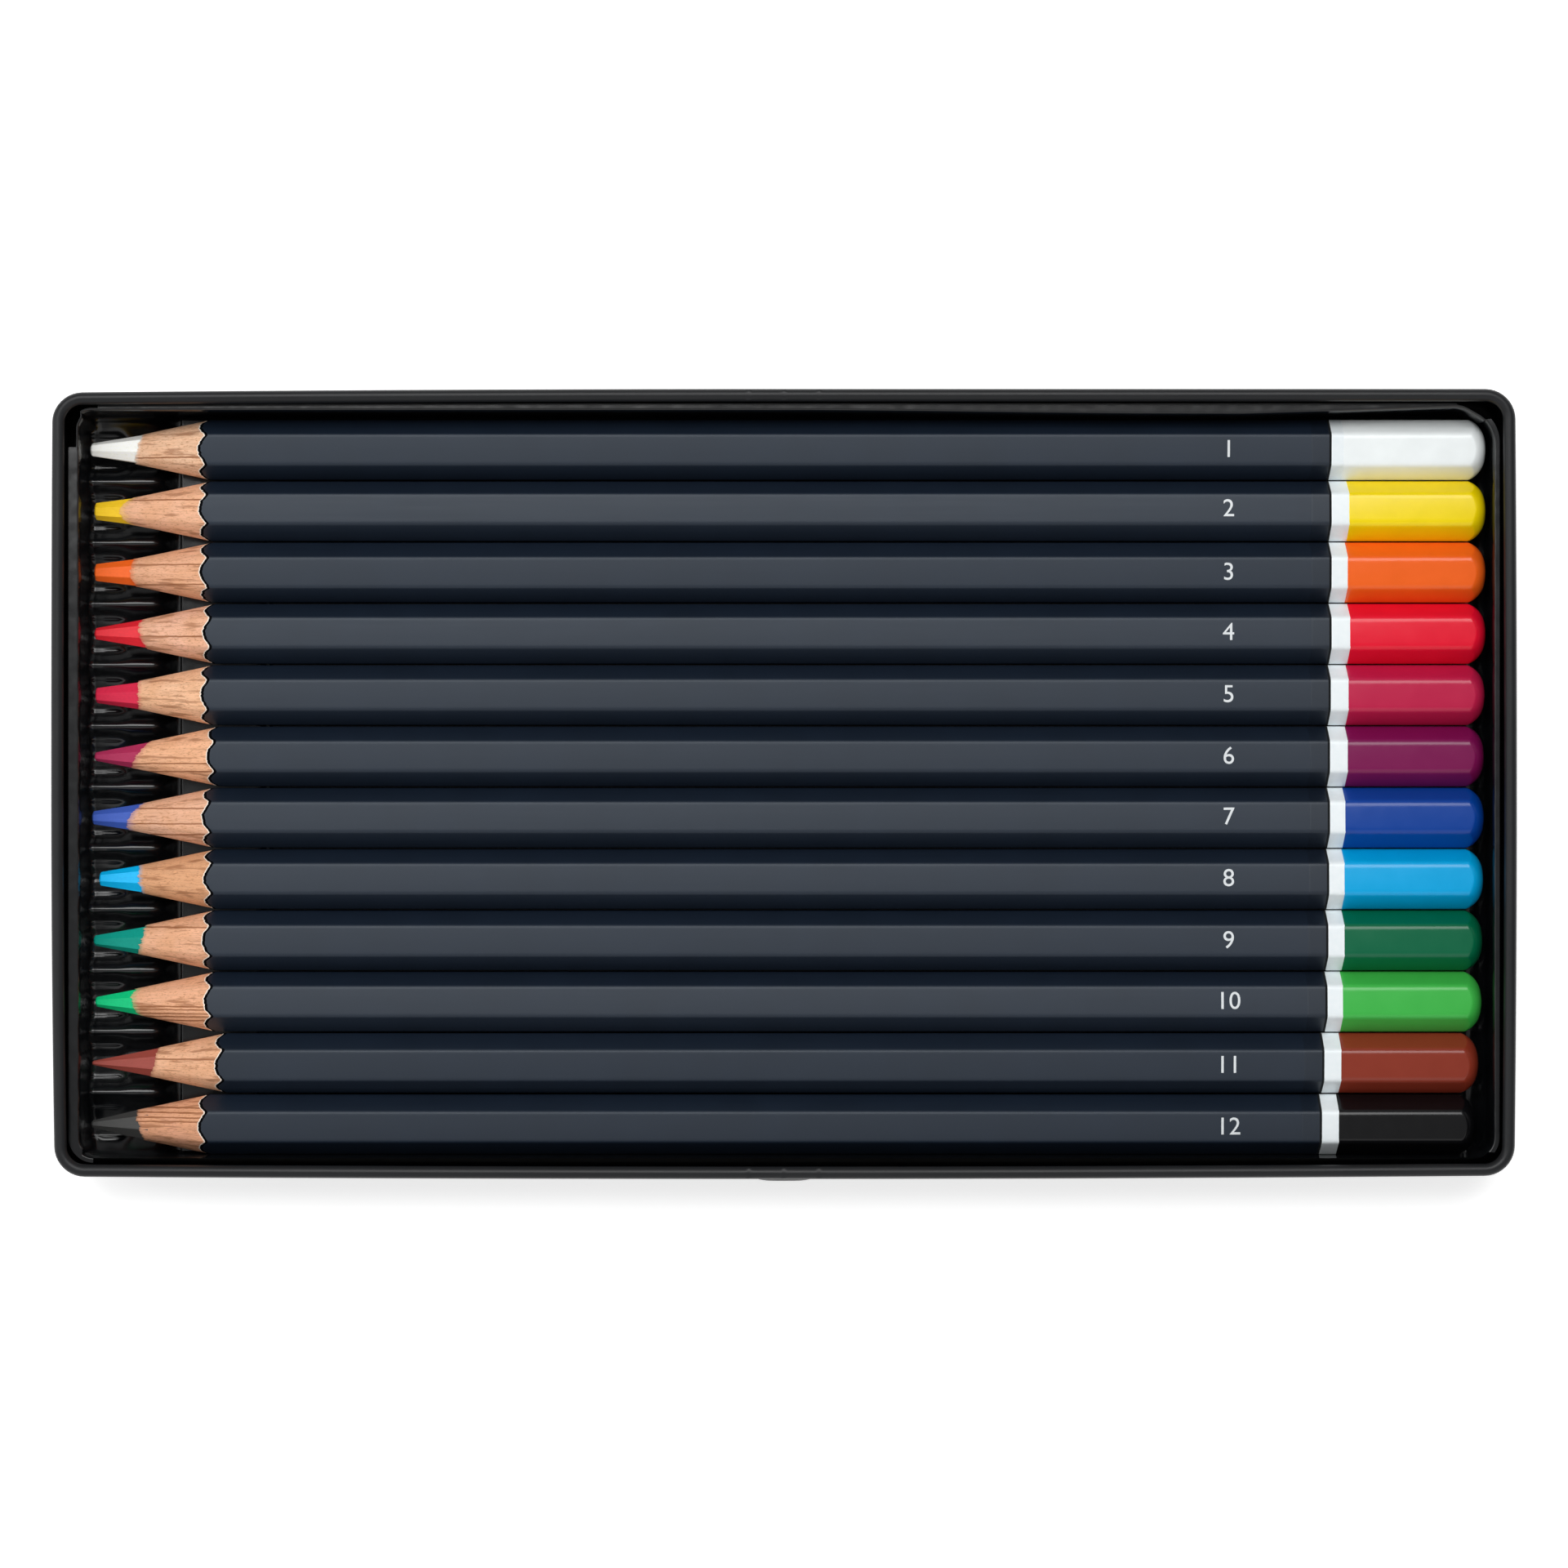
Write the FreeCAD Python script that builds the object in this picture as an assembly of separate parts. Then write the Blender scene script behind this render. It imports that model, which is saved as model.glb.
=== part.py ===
import FreeCAD, Part
import math
import os

from FreeCAD import Vector

# Pencil, in millimetres
PENCIL_LENGTH = 175.0
WOOD_FLATS = 6.40
CORNER_BLUNT = 0.11
LACQUER = 0.14
RING_COAT = 0.02
DIP_COAT = 0.03
DIP_LENGTH = 19.6
RING_WIDTH = 2.2
DOME_HEIGHT = 1.9
DOME_BANDS = 2
DOME_FLAT = math.radians(12)
END_DIP = 0.3
TURN_FLATS = 18
CORE_DIAMETER = 3.5
CONE_SLOPE = 0.19

# Each pencil from back to front: name, radius of the blunt tip, length of bare core, how far the tip
# is worn back, how far the end lies short, and the roll in degrees
PENCILS = [
    ("white", 0.86, 5.5, 0.0, 0.0, 3.0),
    ("yellow", 1.10, 5.1, 0.5, 0.0, -2.0),
    ("orange", 1.10, 5.2, 0.5, 0.0, 2.0),
    ("red", 0.75, 5.6, 0.5, 0.0, -1.0),
    ("crimson", 1.00, 5.2, 0.6, 0.1, 0.0),
    ("purple", 0.57, 6.1, 0.5, 0.2, 0.0),
    ("blue", 0.86, 5.8, 0.2, 0.2, -2.0),
    ("light_blue", 0.90, 5.1, 1.1, 0.3, -2.0),
    ("dark_green", 0.70, 5.6, 0.4, 0.4, -1.0),
    ("green", 0.65, 5.6, 0.6, 0.5, -3.0),
    ("brown", 0.30, 7.4, 0.2, 0.9, 2.0),
    ("black", 0.50, 5.4, 0.1, 1.2, 2.0),
]

# Tin tray
TIN_SHEET = 0.3
TIN_HEIGHT = 13.5
TIN_CORNER = 3.75
TIN_BASE_BEVEL = 1.0
BEAD_DIAMETER = 1.55
CURL_FLATS = 6
PANEL_INSET = 6.0
PANEL_RISE = 0.5
PANEL_CORNER = 4.0
CATCH_WIDTH = 7.8
CATCH_HEIGHT = 2.6
CATCH_PROUD = 0.55
CATCH_BELOW_RIM = 4.5

# Formed insert tray
INSERT_SHEET = 0.4
LIP_LEFT = 1.0
LIP_RIGHT = 0.3
LIP_FRONT = 0.05
LIP_BACK = 0.48
LIP_CORNER_EASE = 0.75
LIP_BELOW_RIM = 2.3
MOUTH_BEVEL = 0.25
CORNER_NOTCH = 5.0
POCKET_BEVEL = 0.9
PLATFORM_STEP = 1.2
TIP_BED_LENGTH = 8.3
TIP_CREST = 0.7
TIP_TROUGH_DEPTH = 2.6
BED_TO_STEP = 3.1
STEP_TO_RIDGE = 11.6
RIDGE_CREST = 0.36
RIDGE_SLOPE = math.radians(60)
END_TRENCH = 2.4

# Clearances
CORE_FIT = 0.05
PENCIL_GAP = 0.13
PENCIL_SEAT_GAP = 0.25
TIP_GAP = 0.6
END_GAP = 0.4
FRONT_GAP = 0.2
BACK_GAP = 0.55
RIDGE_GAP = 0.55
INSERT_SIDE_GAP = 0.35
INSERT_SEAT_GAP = 0.2

# How far a cutting shape runs past what it cuts, and how near counts as level
PAST = 1.0
LEVEL = 1e-4

# Sizes that follow from the pencil
COS30 = math.cos(math.radians(30))
TAN30 = math.tan(math.radians(30))
TAN60 = math.tan(math.radians(60))
CORE_RADIUS = CORE_DIAMETER / 2
BARREL_FLATS = WOOD_FLATS + 2 * LACQUER
CAP_COAT = LACQUER + DIP_COAT
CAP_FLATS = WOOD_FLATS + 2 * CAP_COAT
CAP_REACH = CAP_FLATS / 2 / COS30 - CORNER_BLUNT
PITCH = 2 * CAP_REACH + PENCIL_GAP
PACK_WIDTH = (len(PENCILS) - 1) * PITCH + 2 * CAP_REACH

# Tin length and width follow from what lies in it, side by side
TIN_EDGE = BEAD_DIAMETER + INSERT_SIDE_GAP
SHEETS = 2 * (TIN_EDGE + INSERT_SHEET)
TIN_LENGTH = SHEETS + LIP_LEFT + TIP_GAP + PENCIL_LENGTH + END_GAP + LIP_RIGHT
TIN_WIDTH = SHEETS + LIP_FRONT + FRONT_GAP + PACK_WIDTH + BACK_GAP + LIP_BACK
TIN = (-TIN_LENGTH / 2, TIN_LENGTH / 2, -TIN_WIDTH / 2, TIN_WIDTH / 2)

# Plan of the insert: edge of its flange, and inside faces of its pocket
FLANGE = (TIN[0] + TIN_EDGE, TIN[1] - TIN_EDGE, TIN[2] + TIN_EDGE, TIN[3] - TIN_EDGE)
FLANGE_CORNER = TIN_CORNER - TIN_EDGE + LIP_CORNER_EASE
POCKET = (
    FLANGE[0] + LIP_LEFT + INSERT_SHEET,
    FLANGE[1] - LIP_RIGHT - INSERT_SHEET,
    FLANGE[2] + LIP_FRONT + INSERT_SHEET,
    FLANGE[3] - LIP_BACK - INSERT_SHEET,
)
POCKET_CORNER = FLANGE_CORNER - INSERT_SHEET

# Stations along the length and across it
TIP_X = POCKET[0] + TIP_GAP
END_X = TIP_X + PENCIL_LENGTH
BED_END_X = POCKET[0] + TIP_BED_LENGTH
STEP_X = BED_END_X + BED_TO_STEP
RIDGE_X = STEP_X + STEP_TO_RIDGE
TRENCH_X = POCKET[1] - END_TRENCH
FIRST_Y = POCKET[3] - BACK_GAP - CAP_REACH

# Levels above the table
WELL_Z = TIN_SHEET + PANEL_RISE + INSERT_SEAT_GAP + INSERT_SHEET
PLATFORM_Z = WELL_Z + PLATFORM_STEP
AXIS_Z = PLATFORM_Z + PENCIL_SEAT_GAP + CAP_FLATS / 2
FLANGE_Z = TIN_HEIGHT - LIP_BELOW_RIM


def pencil_y(index):
    return FIRST_Y - index * PITCH


def grown(plan, by):
    return (plan[0] - by, plan[1] + by, plan[2] - by, plan[3] + by)


def mitre(thickness):
    """How much a 45 degree bevel differs between the two faces of a sheet."""
    return thickness * math.tan(math.radians(22.5))


def corner_centres(plan, radius):
    """Centres of the four corner arcs, each with the angle at which its arc starts."""
    x0, x1, y0, y1 = grown(plan, -radius)
    return [(Vector(x1, y0, 0), -90), (Vector(x1, y1, 0), 0), (Vector(x0, y1, 0), 90), (Vector(x0, y0, 0), 180)]


def around(centre, radius, degrees, z):
    angle = math.radians(degrees)
    return Vector(centre.x + radius * math.cos(angle), centre.y + radius * math.sin(angle), z)


def rounded_outline(plan, radius, z):
    """Closed wire of four straight runs and four corner arcs, level at z."""
    arcs = []
    for centre, start in corner_centres(plan, radius):
        arcs.append([around(centre, radius, start + turn, z) for turn in (0, 45, 90)])
    edges = []
    for arc, following in zip(arcs, arcs[1:] + arcs[:1]):
        edges.append(Part.Arc(*arc).toShape())
        edges.append(Part.LineSegment(arc[2], following[0]).toShape())
    return Part.Wire(edges)


def rounded_block(plan, radius, z0, z1):
    """Upright block with rounded corners."""
    return Part.Face(rounded_outline(plan, radius, z0)).extrude(Vector(0, 0, z1 - z0))


def bevelled(block, z, bevel):
    """The block with the edges that lie level at z bevelled."""
    level = [edge for edge in block.Edges if max(abs(vertex.Z - z) for vertex in edge.Vertexes) < LEVEL]
    return block.makeChamfer(bevel, level)


def box_between(x0, x1, y0, y1, z0, z1):
    return Part.makeBox(x1 - x0, y1 - y0, z1 - z0, Vector(x0, y0, z0))


def hexagonal_bar(coat, x0, x1, y):
    """Bar along X, flat side up, its corners blunted, as wide as the wood with this coat on it."""
    reach = (WOOD_FLATS / 2 + coat) / COS30 - CORNER_BLUNT
    half_blunt = CORNER_BLUNT * TAN60
    corners = []
    for side in range(6):
        angle = math.radians(side * 60)
        for half in (-half_blunt, half_blunt):
            across = reach * math.cos(angle) - half * math.sin(angle)
            up = reach * math.sin(angle) + half * math.cos(angle)
            corners.append(Vector(x0, y + across, AXIS_Z + up))
    outline = Part.makePolygon(corners + corners[:1])
    return Part.Face(outline).extrude(Vector(x1 - x0, 0, 0))


def turned(sections, y):
    """Form about a pencil's axis, in flats from one round section (x, radius) to the next."""
    rings = []
    for x, radius in sections:
        ring = []
        for step in range(TURN_FLATS):
            angle = 2 * math.pi * step / TURN_FLATS
            ring.append(Vector(x, y + radius * math.cos(angle), AXIS_Z + radius * math.sin(angle)))
        rings.append(ring)
    outlines = [rings[0], rings[-1]]
    for near, far in zip(rings, rings[1:]):
        for step in range(TURN_FLATS):
            outlines.append([near[step - 1], near[step], far[step], far[step - 1]])
    faces = [Part.Face(Part.makePolygon(outline + outline[:1])) for outline in outlines]
    return Part.makeSolid(Part.makeShell(faces))


class Sharpened:
    """Stations and turned forms of one sharpened pencil, from its blunt tip to its dipped end."""

    def __init__(self, index, tip_radius, bare_core, worn, short):
        self.y = pencil_y(index)
        self.tip_x = TIP_X + worn
        self.end_x = END_X - short
        self.ring_x = self.end_x - DIP_LENGTH
        self.wood_end_x = self.end_x - DOME_HEIGHT - END_DIP
        self.core_x = self.tip_x + bare_core
        self.point = [(self.tip_x, tip_radius), (self.core_x, CORE_RADIUS)]

    def core(self):
        """Blunt cone at the tip, then a rod as far as the wood."""
        return turned(self.point + [(self.wood_end_x, CORE_RADIUS)], self.y)

    def cone(self):
        """Where the sharpener leaves wood and lacquer standing."""
        wide = CAP_REACH + PAST
        wide_x = self.core_x + (wide - CORE_RADIUS) / CONE_SLOPE
        return turned(self.point + [(wide_x, wide), (self.end_x, wide)], self.y)

    def dome(self):
        """Round end of the dip, turned in a few bands down to a small flat."""
        radius = (CAP_REACH ** 2 + DOME_HEIGHT ** 2) / (2 * DOME_HEIGHT)
        widest = math.asin(CAP_REACH / radius)
        sections = [(self.ring_x, CAP_REACH + PAST)]
        for band in range(DOME_BANDS, -1, -1):
            angle = DOME_FLAT + (widest - DOME_FLAT) * band / DOME_BANDS
            x = self.end_x - radius * (math.cos(DOME_FLAT) - math.cos(angle))
            sections.append((x, radius * math.sin(angle)))
        return turned(sections, self.y)


def make_casing(form, wood):
    """Wooden casing, its glued slats as one piece, with the bore that holds the core."""
    bore = turned([(form.tip_x - PAST, CORE_RADIUS + CORE_FIT), (form.end_x, CORE_RADIUS + CORE_FIT)], form.y)
    return wood.common(form.cone()).cut(bore)


def make_lacquer(form, wood):
    """Coat on the barrel, scalloped where the cone runs out through the flats."""
    return hexagonal_bar(LACQUER, form.tip_x, form.ring_x, form.y).common(form.cone()).cut(wood)


def make_cap(form, wood):
    """Dipped end: the ring is one thin coat, the colour stands a little prouder."""
    colour_x = form.ring_x + RING_WIDTH
    ring = hexagonal_bar(LACQUER + RING_COAT, form.ring_x, colour_x, form.y)
    colour = hexagonal_bar(CAP_COAT, colour_x, form.end_x, form.y).common(form.dome())
    return ring.fuse(colour).cut(wood).removeSplitter()


def make_pencil(index, tip_radius, bare_core, worn, short, roll):
    """The four pieces of one pencil, lying in its trough and rolled about its axis."""
    form = Sharpened(index, tip_radius, bare_core, worn, short)
    wood = hexagonal_bar(0, form.tip_x, form.wood_end_x, form.y)
    pieces = {
        "core": form.core(),
        "casing": make_casing(form, wood),
        "lacquer": make_lacquer(form, wood),
        "cap": make_cap(form, wood),
    }
    for shape in pieces.values():
        shape.rotate(Vector(0, form.y, AXIS_Z), Vector(1, 0, 0), roll)
    return pieces


def curl_section(centre, degrees):
    """Three quarters of a ring across the rim, starting at the wall and curling inwards in flats."""
    bead = BEAD_DIAMETER / 2
    inward = Vector(-math.cos(math.radians(degrees)), -math.sin(math.radians(degrees)), 0)
    turns = [math.radians(180 - 270 * step / CURL_FLATS) for step in range(CURL_FLATS + 1)]

    def corner(radius, turn):
        return centre + inward * (radius * math.cos(turn)) + Vector(0, 0, radius * math.sin(turn))

    outer = [corner(bead, turn) for turn in turns]
    inner = [corner(bead - TIN_SHEET, turn) for turn in reversed(turns)]
    return Part.Face(Part.makePolygon(outer + inner + outer[:1]))


def make_rim():
    """Curled rim: the section runs along each wall and turns about each corner."""
    bead = BEAD_DIAMETER / 2
    radius = TIN_CORNER - bead
    z = TIN_HEIGHT - bead
    corners = corner_centres(TIN, TIN_CORNER)
    pieces = []
    for (centre, start), (following, next_start) in zip(corners, corners[1:] + corners[:1]):
        first = around(centre, radius, start, z)
        last = around(centre, radius, start + 90, z)
        pieces.append(curl_section(first, start).revolve(centre, Vector(0, 0, 1), 90))
        run = around(following, radius, next_start, z) - last
        pieces.append(curl_section(last, start + 90).extrude(run))
    return pieces


def catch_bulge(coat):
    """Long low bump on the front wall: bowed in plan and in height, thinner by a coat inside."""
    swing = (CATCH_WIDTH ** 2 / 4 + CATCH_PROUD ** 2) / (2 * CATCH_PROUD)
    crown = (CATCH_HEIGHT ** 2 / 4 + CATCH_PROUD ** 2) / (2 * CATCH_PROUD)
    front = TIN[2] - CATCH_PROUD
    z = TIN_HEIGHT - CATCH_BELOW_RIM
    upright = Part.makeCylinder(swing - coat, CATCH_HEIGHT, Vector(0, front + swing, z - CATCH_HEIGHT / 2))
    lying = Part.makeCylinder(
        crown - coat, 2 * CATCH_WIDTH, Vector(-CATCH_WIDTH, front + crown, z), Vector(1, 0, 0)
    )
    slab = box_between(-CATCH_WIDTH, CATCH_WIDTH, front - PAST, TIN[2] + TIN_SHEET, 0, TIN_HEIGHT)
    return upright.common(lying).common(slab)


def base_panel(inset, height):
    """Shallow raised panel whose sides lean in as far as they rise."""
    block = rounded_block(grown(TIN, -PANEL_INSET - inset), PANEL_CORNER - inset, -PAST, height)
    block = bevelled(block, height, height)
    return block.common(box_between(*TIN, 0, TIN_HEIGHT))


def make_tin():
    """Pressed tray: thin walls, curled rim, raised base panel and a catch bump on the front."""
    wall_top = TIN_HEIGHT - BEAD_DIAMETER / 2
    outside = bevelled(rounded_block(TIN, TIN_CORNER, 0, wall_top), 0, TIN_BASE_BEVEL)
    inside = rounded_block(grown(TIN, -TIN_SHEET), TIN_CORNER - TIN_SHEET, TIN_SHEET, wall_top)
    inside = bevelled(inside, TIN_SHEET, TIN_BASE_BEVEL - mitre(TIN_SHEET))
    tray = outside.cut(inside).fuse(make_rim())
    tray = tray.fuse(base_panel(0, PANEL_RISE + TIN_SHEET)).cut(base_panel(TIN_SHEET, PANEL_RISE))
    return tray.fuse(catch_bulge(0)).cut(catch_bulge(TIN_SHEET)).removeSplitter()


def ridge_prism(y, half_crest, half_base, z, x0, x1):
    """Long ridge between two pencils, its sides leaning with the pencils' lower flats."""
    height = (half_base - half_crest) * math.tan(RIDGE_SLOPE)
    section = [(-half_base, 0), (half_base, 0), (half_crest, height), (-half_crest, height), (-half_base, 0)]
    wire = Part.makePolygon([Vector(x0, y + across, z + up) for across, up in section])
    return Part.Face(wire).extrude(Vector(x1 - x0, 0, 0))


def ridge_pair(y):
    """Outside of a hollow ridge, and the hollow under it."""
    around_sheet = INSERT_SHEET * (1 / math.sin(RIDGE_SLOPE) - 1 / math.tan(RIDGE_SLOPE))
    half_crest = RIDGE_CREST / 2
    half_base = PITCH / 2 - CAP_FLATS / 2 * TAN30 - RIDGE_GAP
    end_x = TRENCH_X - INSERT_SHEET
    outside = ridge_prism(y, half_crest + around_sheet, half_base, PLATFORM_Z, RIDGE_X, end_x)
    hollow = ridge_prism(
        y,
        half_crest,
        half_base - around_sheet,
        PLATFORM_Z - INSERT_SHEET,
        RIDGE_X + INSERT_SHEET,
        end_x - INSERT_SHEET,
    )
    return outside, hollow


def tip_bed():
    """Bed of round troughs under the tips: the solid down to the well, and the hollow under it."""
    chord = PITCH - TIP_CREST
    trough = (chord ** 2 / 4 + TIP_TROUGH_DEPTH ** 2) / (2 * TIP_TROUGH_DEPTH)
    crest_z = WELL_Z + TIP_TROUGH_DEPTH
    low_z = WELL_Z - INSERT_SHEET
    bed = box_between(POCKET[0], BED_END_X, POCKET[2], POCKET[3], low_z, crest_z)
    hollow = box_between(
        POCKET[0], BED_END_X - INSERT_SHEET, POCKET[2], POCKET[3], low_z - PAST, crest_z - INSERT_SHEET
    )
    for index in range(len(PENCILS)):
        start = Vector(POCKET[0] - PAST, pencil_y(index), WELL_Z + trough)
        length = TIP_BED_LENGTH + 2 * PAST
        bed = bed.cut(Part.makeCylinder(trough, length, start, Vector(1, 0, 0)))
        hollow = hollow.cut(Part.makeCylinder(trough + INSERT_SHEET, length, start, Vector(1, 0, 0)))
    return bed, hollow


def is_mouth_edge(edge):
    """True for the edge loop where the flange turns down into the pocket."""
    box = edge.BoundBox
    x0, x1, y0, y1 = grown(POCKET, LEVEL)
    level = box.ZMin > FLANGE_Z - LEVEL
    return level and box.XMin > x0 and box.XMax < x1 and box.YMin > y0 and box.YMax < y1


def make_insert():
    """Formed sheet: flange, pocket walls, tip well, step, platform with ridges, and end trench."""
    sheet = INSERT_SHEET
    shell = grown(POCKET, sheet)
    shell_corner = POCKET_CORNER + sheet
    above = FLANGE_Z + PAST
    well_span = (POCKET[0] - PAST, STEP_X, FLANGE[2] - PAST, FLANGE[3] + PAST, 0, above)
    trench_span = (TRENCH_X, POCKET[1] + PAST, FLANGE[2] - PAST, FLANGE[3] + PAST, 0, above)

    deep = rounded_block(shell, shell_corner, WELL_Z - sheet, FLANGE_Z)
    well_outside = deep.common(box_between(well_span[0], well_span[1] + sheet, *well_span[2:]))
    trench_outside = deep.common(box_between(trench_span[0] - sheet, *trench_span[1:]))
    platform = rounded_block(shell, shell_corner, PLATFORM_Z - sheet, FLANGE_Z)
    platform = bevelled(platform, PLATFORM_Z - sheet, POCKET_BEVEL + mitre(sheet))
    flange = rounded_block(FLANGE, FLANGE_CORNER, FLANGE_Z - sheet, FLANGE_Z)
    notch = box_between(
        FLANGE[0] - PAST, shell[0], FLANGE[3] - CORNER_NOTCH, FLANGE[3] + PAST, 0, above
    )
    tray = platform.fuse([well_outside, trench_outside, flange.cut(notch)])

    pocket = bevelled(rounded_block(POCKET, POCKET_CORNER, PLATFORM_Z, above), PLATFORM_Z, POCKET_BEVEL)
    deep_pocket = rounded_block(POCKET, POCKET_CORNER, WELL_Z, above)
    tray = tray.cut(pocket)
    tray = tray.cut(deep_pocket.common(box_between(*well_span)))
    tray = tray.cut(deep_pocket.common(box_between(*trench_span)))

    bed, bed_hollow = tip_bed()
    tray = tray.fuse(bed.common(rounded_block(shell, shell_corner, 0, above))).cut(bed_hollow)
    for index in range(len(PENCILS) - 1):
        outside, hollow = ridge_pair(pencil_y(index) - PITCH / 2)
        tray = tray.fuse(outside).cut(hollow)
    tray = tray.removeSplitter()

    mouth = [edge for edge in tray.Edges if is_mouth_edge(edge)]
    return tray.makeChamfer(min(MOUTH_BEVEL, 0.8 * sheet), mouth)


os.makedirs("parts", exist_ok=True)
make_tin().exportStep("parts/tin_tray.step")
make_insert().exportStep("parts/insert_tray.step")
for place, (colour, *sizes) in enumerate(PENCILS):
    for piece, solid in make_pencil(place, *sizes).items():
        solid.exportStep(f"parts/{colour}_pencil_{piece}.step")
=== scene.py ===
import math

import bmesh
import bpy
import numpy as np
from mathutils import Matrix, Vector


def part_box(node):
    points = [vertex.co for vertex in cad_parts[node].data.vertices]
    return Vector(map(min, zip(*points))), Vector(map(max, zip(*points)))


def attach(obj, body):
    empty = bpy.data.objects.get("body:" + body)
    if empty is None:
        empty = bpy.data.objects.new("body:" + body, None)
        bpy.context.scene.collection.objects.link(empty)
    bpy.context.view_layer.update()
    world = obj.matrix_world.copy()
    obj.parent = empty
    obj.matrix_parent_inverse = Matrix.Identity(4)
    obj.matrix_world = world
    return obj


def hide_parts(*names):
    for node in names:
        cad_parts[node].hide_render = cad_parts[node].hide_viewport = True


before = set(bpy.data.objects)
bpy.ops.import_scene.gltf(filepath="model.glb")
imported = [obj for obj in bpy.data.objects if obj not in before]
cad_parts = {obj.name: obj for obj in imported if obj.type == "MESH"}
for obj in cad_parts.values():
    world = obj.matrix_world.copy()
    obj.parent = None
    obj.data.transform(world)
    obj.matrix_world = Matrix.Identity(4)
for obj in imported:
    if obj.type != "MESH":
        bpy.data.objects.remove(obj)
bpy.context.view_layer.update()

# Watercolour pencil set: twelve hexagonal pencils in a formed black insert, in a rolled-rim tin tray.
# Lengths are millimetres, and become metres where a mesh or a pattern is made from them.
MM = 0.001

# Sizes of the pencils

# From the back of the tray to the front: name, pigment, dipped end and wood colours, radius of the
# blunt tip, roll of the barrel in degrees, width of the white ring, how far from the tip the wood
# begins at the back of the point, on top and at the front, and the dark growth lines in the wood,
# as distances from the axis towards the back.
PENCILS = (
    ("white", "#fafaf5", "#f3f8f8", "#f0c4a2", 0.86, 3, 1.5, (6.6, 6.1, 5.7), (-1.1,)),
    ("yellow", "#fbce26", "#f5d800", "#f4bc99", 1.10, -2, 2.2, (4.9, 3.4, 4.5), (1.3,)),
    ("orange", "#f8691f", "#f16319", "#ecb28f", 1.10, 2, 2.0, (5.1, 4.7, 5.3), (0.9, -1.6)),
    ("red", "#e92735", "#e50f2f", "#f1bb9e", 0.75, -1, 2.3, (6.0, 5.8, 6.8), (-0.4,)),
    ("crimson", "#dc2a4c", "#bb1c47", "#f6c39d", 1.00, 0, 2.2, (5.4, 5.6, 5.5), ()),
    ("purple", "#b2305a", "#790f4e", "#f4ba93", 0.57, 0, 2.2, (7.0, 5.5, 4.7), (-0.9, -1.9)),
    ("blue", "#4060be", "#053f97", "#edb899", 0.86, -2, 1.9, (6.5, 4.8, 4.7), (1.18, -0.75, -2.1)),
    ("light_blue", "#00befc", "#00a5e0", "#e2a97f", 0.90, -2, 1.9, (5.2, 5.2, 5.5), ()),
    ("dark_green", "#009a88", "#006441", "#eeb591", 0.70, -1, 2.0, (6.5, 6.2, 5.6), (1.7,)),
    ("green", "#08cc82", "#3eb449", "#efb490", 0.65, -3, 1.9, (5.2, 4.8, 5.7),
     (-0.5, -0.9, -1.4, -1.8, -2.3)),
    ("brown", "#a04a40", "#893322", "#efb893", 0.30, 2, 2.1, (8.5, 8.0, 7.4), (0.6,)),
    ("black", "#424241", "#0b0b0d", "#e4a684", 0.50, 2, 2.1, (5.9, 6.2, 6.7), (0.5, 1.0, 1.6, 2.2)),
)

CORE_RADIUS = 1.75
BORE_ROOM = 0.02           # between the pigment and the bore where the casing's cone begins
BORE_GAP = 0.03            # further in, the pigment is thinner and the bore wider by this
CONE_SLOPE = 0.19
WOOD_FLAT = 3.295          # half the width over the flats: bare wood, then the coats on it
LACQUER_FLAT = 3.340
COLLAR_FLAT = 3.350
RING_FLAT = 3.390
CAP_FLAT = 3.420
SINK = 0.03                # how far a coat reaches into what lies under it
LAP = 0.1                  # how far a band runs on under the next coat
CORNER_SOFTNESS = 0.42     # blend that rounds the six corners of the barrel
RING_SOFTNESS = 0.60       # the thick end coats round them more
CAP_SOFTNESS = 0.80
CROWN = 0.97               # under 1, so the flats are slightly crowned
STEPS_AROUND, CORE_STEPS = 192, 112

NOSE = 0.35                # rounding at the very tip of the pigment
CORE_FLATS = 7             # flats that the blade leaves round the pigment
CORE_SOFTNESS = 0.05
CORE_INSET = 0.901         # keeps the corners between those flats inside the wood
CORE_UNDER = 1.7           # length of the pigment's cone under the wood
WOOD_SHORT = 2.4           # the wood and the pigment stop this far before the end of the dip
SCALLOP = 0.40             # share of the cone's scallop that the corners show
SCALLOP_SHIFT = 0.20       # wood showing past the true cone
CORE_RAG, LACQUER_RAG = 1.6, 0.8   # unevenness of the two cut edges
SPOKE_RADIUS = 2.5         # radius at which the patterns that fan out have their true scale

COLLAR_WIDTH = 2.5
DULL_LINE = 0.30           # end of the collar, next to the ring
BAND_EDGE = (0.03, 0.008)  # easing of a coat's edge, along the pencil and inwards
CAP_EDGE = (0.04, 0.012)
CAP_COAT = 0.07
DOME_HEIGHT = 1.6
DOME_START, DOME_STOP = 15, 86   # degrees; the domed end breaks from the flats by the first
DOME_FULLNESS = 0.8        # under 1, so the dome is fuller than an ellipse
DOME_SCALLOP = 0.28        # the dome starts earlier at the corners
NUMBER_SIZE, NUMBER_FILM, NUMBER_X = 3.1, 0.012, 55.5

# Sizes of the tin tray

BEAD = 0.775               # radius of the rolled rim
RIM_CURL = 262             # degrees that the rim is rolled round
SHEET = 0.30               # tinplate
TIN_CORNER, LEAST_CORNER = 3.75, 0.4
BASE_FILLET = 1.20
PANEL = ((6.0, 0.0), (6.2, 0.06), (6.5, 0.42), (6.7, 0.5), (8.0, 0.5))   # raised base: inset, height
CATCH_WIDTH, CATCH_HEIGHT, CATCH_PROUD = 7.8, 2.6, 0.55
CATCH_BELOW_RIM = 4.5
CATCH_SHARE = 0.07         # share of the long side with closer columns, for the catch
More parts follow.
